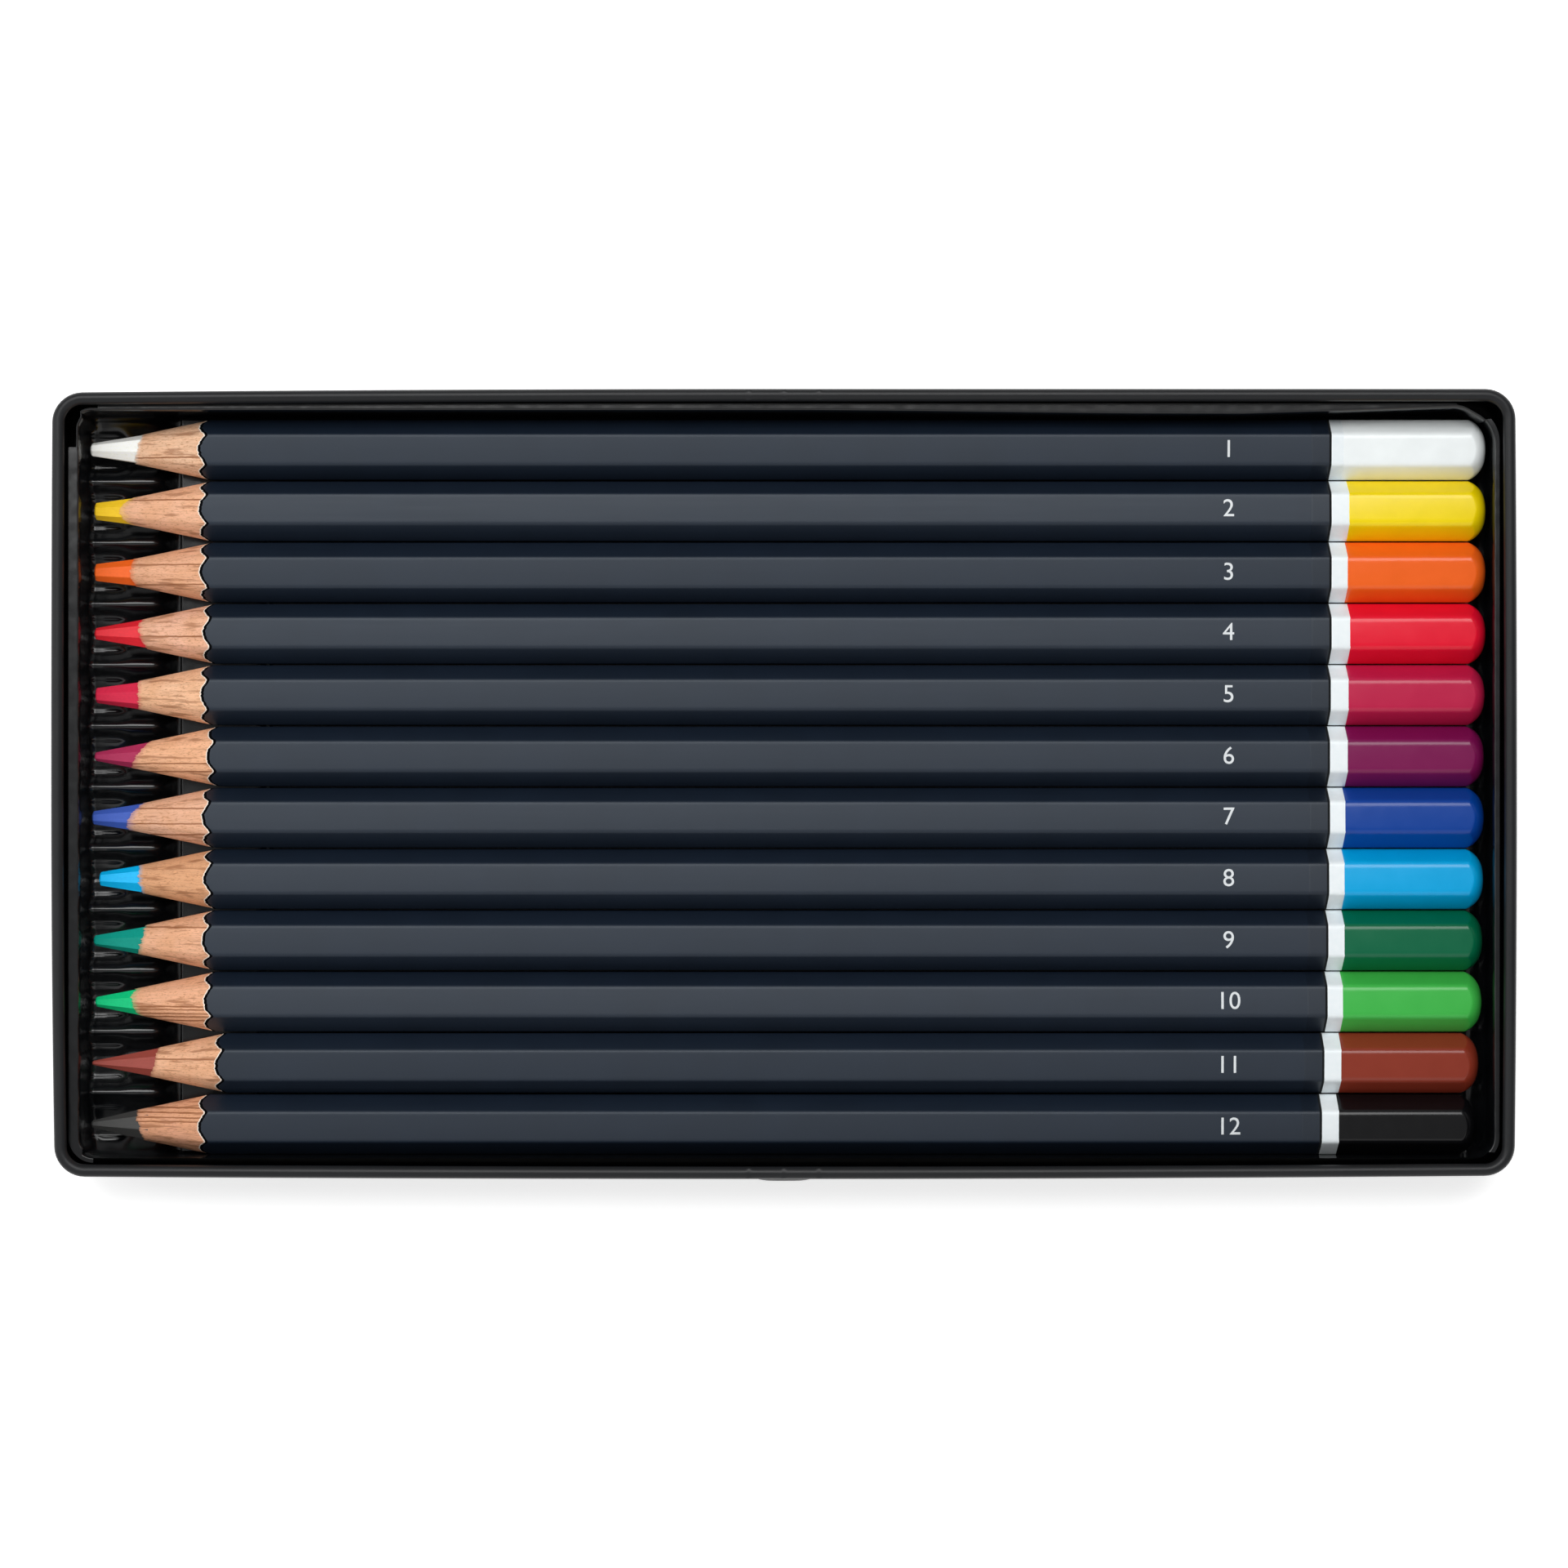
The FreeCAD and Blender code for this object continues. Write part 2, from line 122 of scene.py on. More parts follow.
# How far each corner of the pressed tray draws in, along x and y, in this order of corners:
# front left, front right, back left, back right.
DRAWN_IN = ((0.45, 0.30), (0.30, 0.42), (0.15, 0.45), (0.20, 0.0))

# Sizes of the insert

INSERT_SHEET = 0.40
LIP = (1.05, 0.45, 0.45, 0.62)    # flange width: left, right, front, back
DRAFT = (0.6, 0.4, 0.8, 0.8)      # lean of the pocket walls in degrees, same order
MOUTH = (0.22, 0.22, 0.12, 0.25)  # rounding of the pocket's mouth, same order
FOOT = (0.8, 2.0, 0.3, 0.6)       # fillet at the foot of the walls, same order
WALL_DROP = 14                    # more than the depth of any wall
FLANGE_CORNERS = (3.2, 3.2, 2.8, 4.6)   # in the order of DRAWN_IN
NOTCH = 5.0                       # length of left flange cut away at the back
FLANGE_STOP = 83.0                # x where the back flange ends
WELL_Z, PLATFORM_Z = 1.4, 2.6
TIP_CREST_Z, RIDGE_Z = 4.0, 4.2
BED_END, STEP, RIDGE_START, TRENCH = -79.2, -76.25, -64.65, 85.95
TROUGH_FLAT = 0.8                 # half the width of a trough's bottom past its ledges
LEDGE, LEDGE_Z, LEDGE_END = 2.0, 2.4, -82.2   # ledge in each trough: from the axis, height, end
LEDGE_FADE = 2.2
OUTER_CREST = 1.2                 # outside the outer pencils the walls come before the crest would
RIDGE_FLANK = (1.25, 0.1)         # where a ridge starts and is full, from the middle of it
PIP = 0.7                         # height of the pip before each ridge, as a share of the ridge
# Grid lines across half a trough, from its axis.
TROUGH_LINES = (0, 0.7, 1.2, 1.6, 1.85, 1.97, 2.1, 2.4, 2.8, 3.2, 3.5, 3.7)

# Warp of the insert's thin sheet. FROM and STOP say between which x a change comes about.
BOW, BOW_STOP = 0.25, (83, 87)    # the back wall bows out until it nears its right end
KICK, KICK_FROM = 0.5, (66, 82)   # and more so just before that
SAG, SAG_FROM, SAG_STOP = 0.5, (0, 52), (62, 76)   # between, it sags inwards
BACK_REACH = 1.2                  # how far in from the back wall's mouth the warp is felt
# The back flange comes out no further than this, and points further in keep a share of their distance.
BACK_LIMIT, BACK_SHARE = 0.25, 0.02
UNDERCUT = 3.0                    # degrees by which the right wall bulges out towards its foot
UNDERCUT_REACH = (0.95, 0.2)      # where that bulge starts and is full, in from the wall's mouth
WAVE, WAVE_REACH = 0.09, 0.6      # waves of the left wall

# Stage

FLOOR_REACH, FLOOR_Z = 1500, -0.05
FLOOR_LIFT = 0.51          # the floor's own light, which brings it to white
WORLD_LEVEL = 0.30
# Softboxes lean in over the tray from the back and, weaker, from the front and the left, and leave
# the zenith dim, so flat glossy faces stay dark and rounded back edges catch a light line. Each has
# its place and its size in metres, and its power in watts.
LAMPS = (
    ("back_softbox", (-0.08, 0.48, 1.04), (1.1, 0.60), 9.0),
    ("front_softbox", (0.0, -1.10, 0.80), (3.0, 1.6), 6.8),
    ("left_softbox", (-0.95, 0.10, 0.60), (0.5, 0.8), 2.0),
)
AXIS_Z = 6.22              # height of the pencils' axes
VIEW_WIDTH, VIEW_HEIGHT = 196.84, 570   # what the camera takes in at that height, and from how far up


# Small tools

def paint(code):
    """Linear colour of an sRGB hex value."""
    parts = [int(code[i:i + 2], 16) / 255 for i in (1, 3, 5)]
    return tuple(v / 12.92 if v <= 0.04045 else ((v + 0.055) / 1.055) ** 2.4 for v in parts) + (1.0,)


def per(size):
    """Texture scale, on Object coordinates in metres, for features of this many millimetres."""
    return 1.0 / (size * MM)


def add(tree, kind, inputs=None, **settings):
    """Add one node with its settings, values and links, and return its outputs."""
    node = tree.nodes.new(kind)
    for name, value in settings.items():
        setattr(node, name, value)
    for key, value in (inputs or {}).items():
        if isinstance(value, bpy.types.NodeSocket):
            tree.links.new(value, node.inputs[key])
        else:
            node.inputs[key].default_value = value
    return node.outputs


def box_mm(node):
    """Lowest and highest corner of a solid."""
    return np.array([list(corner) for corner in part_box(node)]) / MM


def new_piece(name, data):
    piece = bpy.data.objects.new(name, data)
    bpy.context.scene.collection.objects.link(piece)
    return piece


def new_mesh(name, points, faces, finish):
    mesh = bpy.data.meshes.new(name)
    mesh.from_pydata((np.asarray(points) * MM).tolist(), [], faces)
    mesh.materials.append(finish)
    mesh.validate()
    return mesh


def plain_mesh(piece):
    """The evaluated piece as a mesh of its own."""
    graph = bpy.context.evaluated_depsgraph_get()
    return bpy.data.meshes.new_from_object(
        piece.evaluated_get(graph), preserve_all_data_layers=True, depsgraph=graph)


def smooth(mesh, angle):
    """Smooth shading that breaks where faces meet at more than this angle."""
    mesh.shade_smooth()
    mesh.set_sharp_from_angle(angle=math.radians(angle))


def hand_over(piece, body, slot, *nodes):
    """Tie a piece to its body and hide the solids that it stands for; the slot is not used."""
    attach(piece, body)
    if nodes:
        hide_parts(*nodes)


# Finishes

NOISE, MAPPING, RANGE = "ShaderNodeTexNoise", "ShaderNodeMapping", "ShaderNodeMapRange"
MATH, BUMP, TINT = "ShaderNodeMath", "ShaderNodeBump", "ShaderNodeHueSaturation"
MIX = "ShaderNodeMix"   # a mix of colours takes them on sockets 6 and 7 and gives the result on 2
SPLIT, JOIN, ATTRIBUTE = "ShaderNodeSeparateXYZ", "ShaderNodeCombineXYZ", "ShaderNodeAttribute"
COOL_GLINT = "#f0f8ff"


def start_finish(name):
    finish = bpy.data.materials.new(name)
    finish.use_nodes = True
    tree = finish.node_tree
    tree.nodes.clear()
    return finish, tree, add(tree, "ShaderNodeTexCoord")["Object"]


def end_finish(tree, inputs):
    shader = add(tree, "ShaderNodeBsdfPrincipled", inputs)
    add(tree, "ShaderNodeOutputMaterial", {"Surface": shader["BSDF"]})


def satin_lacquer():
    """Near-black navy lacquer, drawn on in thin coats through a felt: satin, with faint lengthwise
    draw lines."""
    finish, tree, place = start_finish("satin_navy_lacquer")
    drawn = add(tree, MAPPING, {"Vector": place, "Scale": (0.03, 1, 1)})[0]
    lines = add(tree, NOISE, {"Vector": drawn, "Scale": per(0.35), "Detail": 3.0})[0]
    cloud = add(tree, NOISE, {"Vector": place, "Scale": per(6.0), "Detail": 2.0})[0]
    shade = add(tree, MIX, {0: cloud, 6: paint("#0d1826"), 7: paint("#131f2f")}, data_type="RGBA")[2]
    rough = add(tree, RANGE, {"Value": lines, "To Min": 0.44, "To Max": 0.54})[0]
    relief = add(tree, BUMP, {"Height": lines, "Strength": 0.08, "Distance": 0.03 * MM})[0]
    end_finish(tree, {"Base Color": shade, "Roughness": rough, "Normal": relief, "IOR": 1.55,
                      "Specular Tint": paint(COOL_GLINT)})
    return finish


def painted_edge_shade():
    """Painted shade along the broken line of the lacquer's cut edge: near-black and dead matt, so it takes
    no shine."""
    finish, tree, place = start_finish("matt_black_shade_coat")
    grit = add(tree, NOISE, {"Vector": place, "Scale": per(0.1), "Detail": 2.0})[0]
    shade = add(tree, MIX, {0: grit, 6: paint("#020203"), 7: paint("#0b0b0d")}, data_type="RGBA")[2]
    end_finish(tree, {"Base Color": shade, "Roughness": 0.9, "Specular IOR Level": 0.05})
    return finish


def collar_lacquer():
    """Second coat of lacquer left by the dip next to the ring: a little darker, with a narrow dull black
    line of painted shade where the ring's paint begins."""
    finish, tree, place = start_finish("second_coat_lacquer")
    along = add(tree, ATTRIBUTE, attribute_name="along")["Fac"]
    cloud = add(tree, NOISE, {"Vector": place, "Scale": per(2.0), "Detail": 2.0})[0]
    dull = COLLAR_WIDTH - DULL_LINE
    # The narrow black, dull line just before the ring is painted shade.
    line = add(tree, RANGE, {"Value": along, "From Min": dull - 0.04, "From Max": dull + 0.04})[0]
    shade = add(tree, MIX, {0: cloud, 6: paint("#0b1522"), 7: paint("#111b29")}, data_type="RGBA")[2]
    shade = add(tree, MIX, {0: line, 6: shade, 7: paint("#020203")}, data_type="RGBA")[2]
    rough = add(tree, RANGE, {"Value": cloud, "To Min": 0.44, "To Max": 0.52})[0]
    rough = add(tree, MATH, {0: rough, 1: line}, operation="MAXIMUM")[0]
    end_finish(tree, {"Base Color": shade, "Roughness": rough, "IOR": 1.55,
                      "Specular Tint": paint(COOL_GLINT)})
    return finish


def dip_paint(name, colour):
    """Dipped gloss enamel: even colour that pulls slightly thinner and thicker, with a wet, faintly wavy
    skin."""
    finish, tree, place = start_finish(name + "_dip_enamel")
    cloud = add(tree, NOISE, {"Vector": place, "Scale": per(2.5), "Detail": 2.0})[0]
    tone = add(tree, RANGE, {"Value": cloud, "To Min": 0.94, "To Max": 1.04})[0]
    shade = add(tree, TINT, {"Color": paint(colour), "Value": tone})[0]
    wave = add(tree, NOISE, {"Vector": place, "Scale": per(0.9), "Detail": 1.0})[0]
    relief = add(tree, BUMP, {"Height": wave, "Strength": 0.10, "Distance": 0.05 * MM})[0]
    rough = add(tree, RANGE, {"Value": cloud, "To Min": 0.16, "To Max": 0.26})[0]
    end_finish(tree, {"Base Color": shade, "Roughness": rough, "Normal": relief, "IOR": 1.45})
    return finish


def ring_paint(name, dark, light):
    """White undercoat or printing ink: opaque and half gloss, a little uneven."""
    finish, tree, place = start_finish(name)
    cloud = add(tree, NOISE, {"Vector": place, "Scale": per(0.8), "Detail": 2.0})[0]
    shade = add(tree, MIX, {0: cloud, 6: paint(dark), 7: paint(light)}, data_type="RGBA")[2]
    rough = add(tree, RANGE, {"Value": cloud, "To Min": 0.3, "To Max": 0.4})[0]
    end_finish(tree, {"Base Color": shade, "Roughness": rough})
    return finish


def casing_wood(p):
    """Sharpened cedar-like softwood: pale and dry, with fine straight fibres, dark growth lines along the
    slat, short brown flecks, a painted white highlight along the lacquer's edge and some pigment dragged
    over its start."""
    finish, tree, place = start_finish(p.name + "_casing_wood")
    spoke = add(tree, ATTRIBUTE, attribute_name="spoke")["Vector"]
    along = add(tree, ATTRIBUTE, attribute_name="along")["Fac"]

    # Each pattern is stretched along the slat, and lies elsewhere on each pencil.
    stretched = []
    for source, shift, scale in ((spoke, 0.11, (0.06, 1, 1)), (place, 0.17, (0.012, 1, 0.6)),
                                 (place, 0.13, (0.25, 1, 1))):
        moved = {"Vector": source, "Location": (p.order * shift, 0, 0), "Scale": scale}
        stretched.append(add(tree, MAPPING, moved)[0])
    fan, straight, short = stretched
    fibres = add(tree, NOISE, {"Vector": fan, "Scale": per(0.20), "Detail": 3.0, "Roughness": 0.65})[0]
    growth = add(tree, NOISE, {"Vector": straight, "Scale": per(0.6), "Detail": 2.5, "Roughness": 0.6})[0]
    flecks = add(tree, NOISE, {"Vector": short, "Scale": per(0.15), "Detail": 2.0, "Roughness": 0.7})[0]
    broad = add(tree, NOISE, {"Vector": place, "Scale": per(2.5), "Detail": 2.0})[0]

    by_fibre = {"Value": fibres, "From Min": 0.3, "From Max": 0.7}
    tone = add(tree, RANGE, {**by_fibre, "To Min": 0.86, "To Max": 1.13})[0]
    shade = add(tree, TINT, {"Color": paint(p.wood), "Value": tone})[0]
    warm = add(tree, RANGE, {"Value": broad, "From Min": 0.35, "From Max": 0.7, "To Max": 0.45})[0]
    faint = add(tree, RANGE, {"Value": growth, "From Min": 0.55, "From Max": 0.64, "To Max": 0.60})[0]
    dark = add(tree, RANGE, {"Value": flecks, "From Min": 0.53, "From Max": 0.70, "To Max": 0.75})[0]

    # The growth lines waver a little as they run along the slat.
    waver = add(tree, NOISE, {"Vector": place, "Scale": per(1.5), "Detail": 3.0})[0]
    across = add(tree, MATH, {0: waver, 1: 0.2 * MM, 2: -(0.1 + p.y) * MM}, operation="MULTIPLY_ADD")[0]
    sideways = add(tree, SPLIT, {0: place})["Y"]
    across = add(tree, MATH, {0: sideways, 1: across}, operation="ADD")[0]
    strong = add(tree, RANGE, {**by_fibre, "To Min": 0.65, "To Max": 1.0})[0]
    ringed = faint
    for offset in p.growth_lines:
        line = add(tree, MATH, {0: across, 1: offset * MM, 2: 0.09 * MM}, operation="COMPARE")[0]
        line = add(tree, MATH, {0: line, 1: strong}, operation="MULTIPLY")[0]
        ringed = add(tree, MATH, {0: ringed, 1: line}, operation="MAXIMUM")[0]

    reach = add(tree, MATH, {0: fibres, 1: 0.16, 2: -0.02}, operation="MULTIPLY_ADD")[0]
    dragged = add(tree, RANGE, {"Value": along, "From Min": reach, "From Max": 0.0, "To Max": 0.45})[0]
    # A thin whitish band just below the lacquer's edge is a painted highlight.
    edge_highlight = add(tree, RANGE, {"Value": along, "From Min": 0.968, "From Max": 0.980, "To Max": 0.9})[0]
    for amount, colour in ((warm, "#e3a577"), (ringed, "#8f552f"), (dark, "#b57a50"), (edge_highlight, "#fdf3e6"),
                           (dragged, p.pigment)):
        shade = add(tree, MIX, {0: amount, 6: shade, 7: paint(colour)}, data_type="RGBA")[2]
    rise = add(tree, MATH, {0: fibres, 1: flecks}, operation="SUBTRACT")[0]
    relief = add(tree, BUMP, {"Height": rise, "Strength": 0.6, "Distance": 0.06 * MM})[0]
    end_finish(tree, {"Base Color": shade, "Roughness": 0.75, "Normal": relief, "IOR": 1.4})
    return finish


def pigment(p):
    """Bound pigment and wax, cut by a blade: close to matt, with lengthwise cutter lines and a chalky
    bloom."""
    finish, tree, place = start_finish(p.name + "_pigment")
    spoke = add(tree, ATTRIBUTE, attribute_name="spoke")["Vector"]
    moved = {"Vector": spoke, "Location": (p.order * 0.07, 0, 0), "Scale": (0.06, 1, 1)}
    cut = add(tree, MAPPING, moved)[0]
    lines = add(tree, NOISE, {"Vector": cut, "Scale": per(0.30), "Detail": 3.0, "Roughness": 0.6})[0]
    bloom = add(tree, NOISE, {"Vector": place, "Scale": per(0.35), "Detail": 3.0})[0]
    mixed = add(tree, MATH, {0: lines, 1: bloom}, operation="ADD")[0]
    tone = add(tree, RANGE, {"Value": mixed, "From Min": 0.6, "From Max": 1.4, "To Min": 0.96,
                             "To Max": 1.16})[0]
    shade = add(tree, TINT, {"Color": paint(p.pigment), "Value": tone})[0]
    relief = add(tree, BUMP, {"Height": lines, "Strength": 0.3, "Distance": 0.05 * MM})[0]
    end_finish(tree, {"Base Color": shade, "Roughness": 0.46, "Normal": relief, "IOR": 1.4})
    return finish


def black_tinplate():
    """Tinplate stove-enamelled black before pressing: satin, with a fine orange peel."""
    finish, tree, place = start_finish("black_enamelled_tinplate")
    peel = add(tree, NOISE, {"Vector": place, "Scale": per(0.25), "Detail": 2.0})[0]
    cloud = add(tree, NOISE, {"Vector": place, "Scale": per(9.0), "Detail": 3.0})[0]
    shade = add(tree, MIX, {0: cloud, 6: paint("#18191b"), 7: paint("#222325")}, data_type="RGBA")[2]
    rough = add(tree, RANGE, {"Value": cloud, "To Min": 0.32, "To Max": 0.46})[0]
    relief = add(tree, BUMP, {"Height": peel, "Strength": 0.15, "Distance": 0.04 * MM})[0]
    end_finish(tree, {"Base Color": shade, "Roughness": rough, "Normal": relief, "IOR": 1.36})
    return finish


def formed_plastic():
    """Black polystyrene sheet, vacuum formed: glossy, with slow waves where the sheet was stretched and
    tight ripples on the wall by the tips, where it thinned most."""
    finish, tree, place = start_finish("black_formed_polystyrene")
    facing = add(tree, "ShaderNodeNewGeometry")["True Normal"]
    facing = add(tree, SPLIT, {0: facing})["X"]
    wall = add(tree, RANGE, {"Value": facing, "From Min": 0.7, "From Max": 0.95})[0]
    wave = add(tree, NOISE, {"Vector": place, "Scale": per(2.2), "Detail": 1.0})[0]
    ripple = add(tree, NOISE, {"Vector": place, "Scale": per(0.5), "Detail": 2.0})[0]
    ripple = add(tree, MATH, {0: ripple, 1: wall}, operation="MULTIPLY")[0]
    shade = add(tree, MIX, {0: wave, 6: paint("#0a0b0d"), 7: paint("#101215")}, data_type="RGBA")[2]
    rough = add(tree, RANGE, {"Value": wave, "To Min": 0.14, "To Max": 0.24})[0]
    relief = add(tree, BUMP, {"Height": wave, "Strength": 0.20, "Distance": 0.2 * MM})[0]
    relief = add(tree, BUMP, {"Height": ripple, "Strength": 0.6, "Distance": 0.18 * MM,
                              "Normal": relief})[0]
    end_finish(tree, {"Base Color": shade, "Roughness": rough, "Normal": relief, "IOR": 1.58})
    return finish


# Pencils

def rounded_polygon(tree, given, angle):
    """How far a rounded polygon with crowned flats stands out past its half flat, at an angle."""
    half_side = add(tree, MATH, {0: math.pi, 1: given["Sides"]}, operation="DIVIDE")[0]
    lean = add(tree, MATH, {0: angle, 1: half_side}, operation="PINGPONG")[0]
    back_lean = add(tree, MATH, {0: half_side, 1: 2.0}, operation="MULTIPLY")[0]
    back_lean = add(tree, MATH, {0: back_lean, 1: lean}, operation="SUBTRACT")[0]
    # The radius is the smaller of two neighbouring flats, blended.
    flats = []
    for turned in (lean, back_lean):
        crowned = add(tree, MATH, {0: turned, 1: given["Crown"]}, operation="MULTIPLY")[0]
        crowned = add(tree, MATH, {0: crowned}, operation="COSINE")[0]
        flats.append(add(tree, MATH, {0: given["Half Flat"], 1: crowned}, operation="DIVIDE")[0])
    radius = add(tree, MATH, {0: flats[0], 1: flats[1], 2: given["Corner Softness"]},
                 operation="SMOOTH_MIN")[0]
    return add(tree, MATH, {0: radius, 1: given["Half Flat"]}, operation="SUBTRACT")[0]


def uneven_edges(tree, given, spot, sine, edge):
    """How far a point shifts along the pencil with the cut edge of the pigment and of the lacquer."""
    rag = []
    for scale, detail in ((3.5, 6.0), (4.5, 5.0)):
        noise = add(tree, NOISE, {"Vector": spot, "Scale": scale, "Detail": detail, "Roughness": 0.75})[0]
        rag.append(add(tree, MATH, {0: noise, 1: 0.5}, operation="SUBTRACT")[0])
    # The pigment's edge is a slow curve from back over top to front, with raggedness on it.
    curve = add(tree, SPLIT, {0: given["Core Edge"]})
    mean = add(tree, MATH, {0: curve["X"], 1: curve["Z"]}, operation="ADD")[0]
    mean = add(tree, MATH, {0: mean, 1: 0.5}, operation="MULTIPLY")[0]
    slant = add(tree, MATH, {0: curve["Z"], 1: mean}, operation="SUBTRACT")[0]
    bend = add(tree, MATH, {0: mean, 1: curve["Y"]}, operation="SUBTRACT")[0]
    swing = add(tree, MATH, {0: bend, 1: sine, 2: slant}, operation="MULTIPLY_ADD")[0]
    start = add(tree, MATH, {0: swing, 1: sine, 2: curve["Y"]}, operation="MULTIPLY_ADD")[0]
    start = add(tree, MATH, {0: rag[0], 1: given["Core Rag"], 2: start}, operation="MULTIPLY_ADD")[0]
    start = add(tree, MATH, {0: start, 1: edge["X"]}, operation="MULTIPLY")[0]
    stop = add(tree, MATH, {0: rag[1], 1: given["Lacquer Rag"]}, operation="MULTIPLY")[0]
    stop = add(tree, MATH, {0: stop, 1: edge["Y"]}, operation="MULTIPLY")[0]
    return start, stop


def pencil_lathe():
    """Geometry Nodes that turn a section line about a pencil's axis and bulge it out to the corners.

    A section point gives its x and radius. Its "follow" attribute says how much it takes of the
    corners' bulge and of the scallop that the cone cuts there; its "edge" attribute says how much it
    takes of the uneven edges of the pigment and of the lacquer.
    """
    tree = bpy.data.node_groups.new("pencil_lathe", "GeometryNodeTree")
    for name, kind in (("Section", "Geometry"), ("Steps Around", "Int"), ("Sides", "Float"),
                       ("Half Flat", "Float"), ("Corner Softness", "Float"), ("Crown", "Float"),
                       ("Cone Slope", "Float"), ("Roll", "Float"), ("Axis", "Vector"),
                       ("Core Edge", "Vector"), ("Core Slope", "Float"), ("Core Rag", "Float"),
                       ("Lacquer Rag", "Float"), ("Seed", "Float"), ("Finish", "Material")):
        tree.interface.new_socket(name, in_out="INPUT", socket_type="NodeSocket" + kind)
    tree.interface.new_socket("Skin", in_out="OUTPUT", socket_type="NodeSocketGeometry")
    given = add(tree, "NodeGroupInput")

    # A grid with one row for each section point and one column for each step round the axis.
    section = given["Section"]
    rows = add(tree, "GeometryNodeAttributeDomainSize", {0: section}, component="MESH")["Point Count"]
    columns = add(tree, MATH, {0: given["Steps Around"], 1: 1.0}, operation="ADD")[0]
    skin = add(tree, "GeometryNodeMeshGrid", {"Vertices X": columns, "Vertices Y": rows})["Mesh"]
    index = add(tree, "GeometryNodeInputIndex")[0]
    row = add(tree, MATH, {0: index, 1: rows}, operation="MODULO")[0]
    column = add(tree, MATH, {0: index, 1: rows}, operation="DIVIDE")[0]
    column = add(tree, MATH, {0: column}, operation="FLOOR")[0]
    share = add(tree, MATH, {0: column, 1: given["Steps Around"]}, operation="DIVIDE")[0]
    angle = add(tree, MATH, {0: share, 1: math.tau}, operation="MULTIPLY")[0]
    rolled = add(tree, MATH, {0: angle, 1: given["Roll"]}, operation="ADD")[0]
    sine = add(tree, MATH, {0: rolled}, operation="SINE")[0]
    cosine = add(tree, MATH, {0: rolled}, operation="COSINE")[0]

    # What each row of the section says.
    told = {}
    for name, kind in (("position", "FLOAT_VECTOR"), ("follow", "FLOAT_VECTOR"), ("edge", "FLOAT_VECTOR"),
                       ("along", "FLOAT")):
        value = add(tree, "GeometryNodeInputNamedAttribute", {"Name": name}, data_type=kind)[0]
        asked = {"Geometry": section, "Value": value, "Index": row}
        told[name] = add(tree, "GeometryNodeSampleIndex", asked, data_type=kind)[0]
    where = add(tree, SPLIT, {0: told["position"]})
    follow = add(tree, SPLIT, {0: told["follow"]})
    edge = add(tree, SPLIT, {0: told["edge"]})

    bulge = rounded_polygon(tree, given, angle)
    spot = add(tree, JOIN, {0: cosine, 1: sine, 2: given["Seed"]})[0]
    start, stop = uneven_edges(tree, given, spot, sine, edge)
    scallop = add(tree, MATH, {0: bulge, 1: follow["Y"]}, operation="MULTIPLY")[0]
    scallop = add(tree, MATH, {0: scallop, 1: given["Cone Slope"]}, operation="DIVIDE")[0]
    x = add(tree, MATH, {0: where["X"], 1: scallop}, operation="ADD")[0]
    x = add(tree, MATH, {0: x, 1: start}, operation="ADD")[0]
    x = add(tree, MATH, {0: x, 1: stop}, operation="ADD")[0]
    radius = add(tree, MATH, {0: bulge, 1: follow["X"], 2: where["Z"]}, operation="MULTIPLY_ADD")[0]
    radius = add(tree, MATH, {0: start, 1: given["Core Slope"], 2: radius}, operation="MULTIPLY_ADD")[0]
    sideways = add(tree, MATH, {0: radius, 1: sine}, operation="MULTIPLY")[0]
    sideways = add(tree, MATH, {0: sideways, 1: -1.0}, operation="MULTIPLY")[0]
    up = add(tree, MATH, {0: radius, 1: cosine}, operation="MULTIPLY")[0]
    point = add(tree, JOIN, {0: x, 1: sideways, 2: up})[0]
    placed = add(tree, "ShaderNodeVectorMath", {0: point, 1: given["Axis"]}, operation="ADD")[0]

    # The spoke runs along the cone, so a pattern on it fans out from the tip.
    girth = (SPOKE_RADIUS * MM, SPOKE_RADIUS * MM, 0.0)
    spoke = add(tree, "ShaderNodeVectorMath", {0: spot, 1: girth}, operation="MULTIPLY")[0]
    spoke = add(tree, SPLIT, {0: spoke})
    spoke = add(tree, JOIN, {0: x, 1: spoke["Y"], 2: spoke["X"]})[0]
    for name, value, kind in (("along", told["along"], "FLOAT"), ("spoke", spoke, "FLOAT_VECTOR")):
        stored = {"Geometry": skin, "Name": name, "Value": value}
        skin = add(tree, "GeometryNodeStoreNamedAttribute", stored, data_type=kind, domain="POINT")[0]
    skin = add(tree, "GeometryNodeSetPosition", {"Geometry": skin, "Position": placed})[0]
    skin = add(tree, "GeometryNodeMergeByDistance", {"Geometry": skin, "Distance": 0.002 * MM})[0]
    skin = add(tree, "GeometryNodeRealizeInstances", {"Geometry": skin})[0]
    skin = add(tree, "GeometryNodeSetMaterial", {"Geometry": skin, "Material": given["Finish"]})[0]
    add(tree, "NodeGroupOutput", {"Skin": skin})
    return tree


LATHE = pencil_lathe()
SOCKETS = {item.name: item.identifier for item in LATHE.interface.items_tree if item.in_out == "INPUT"}


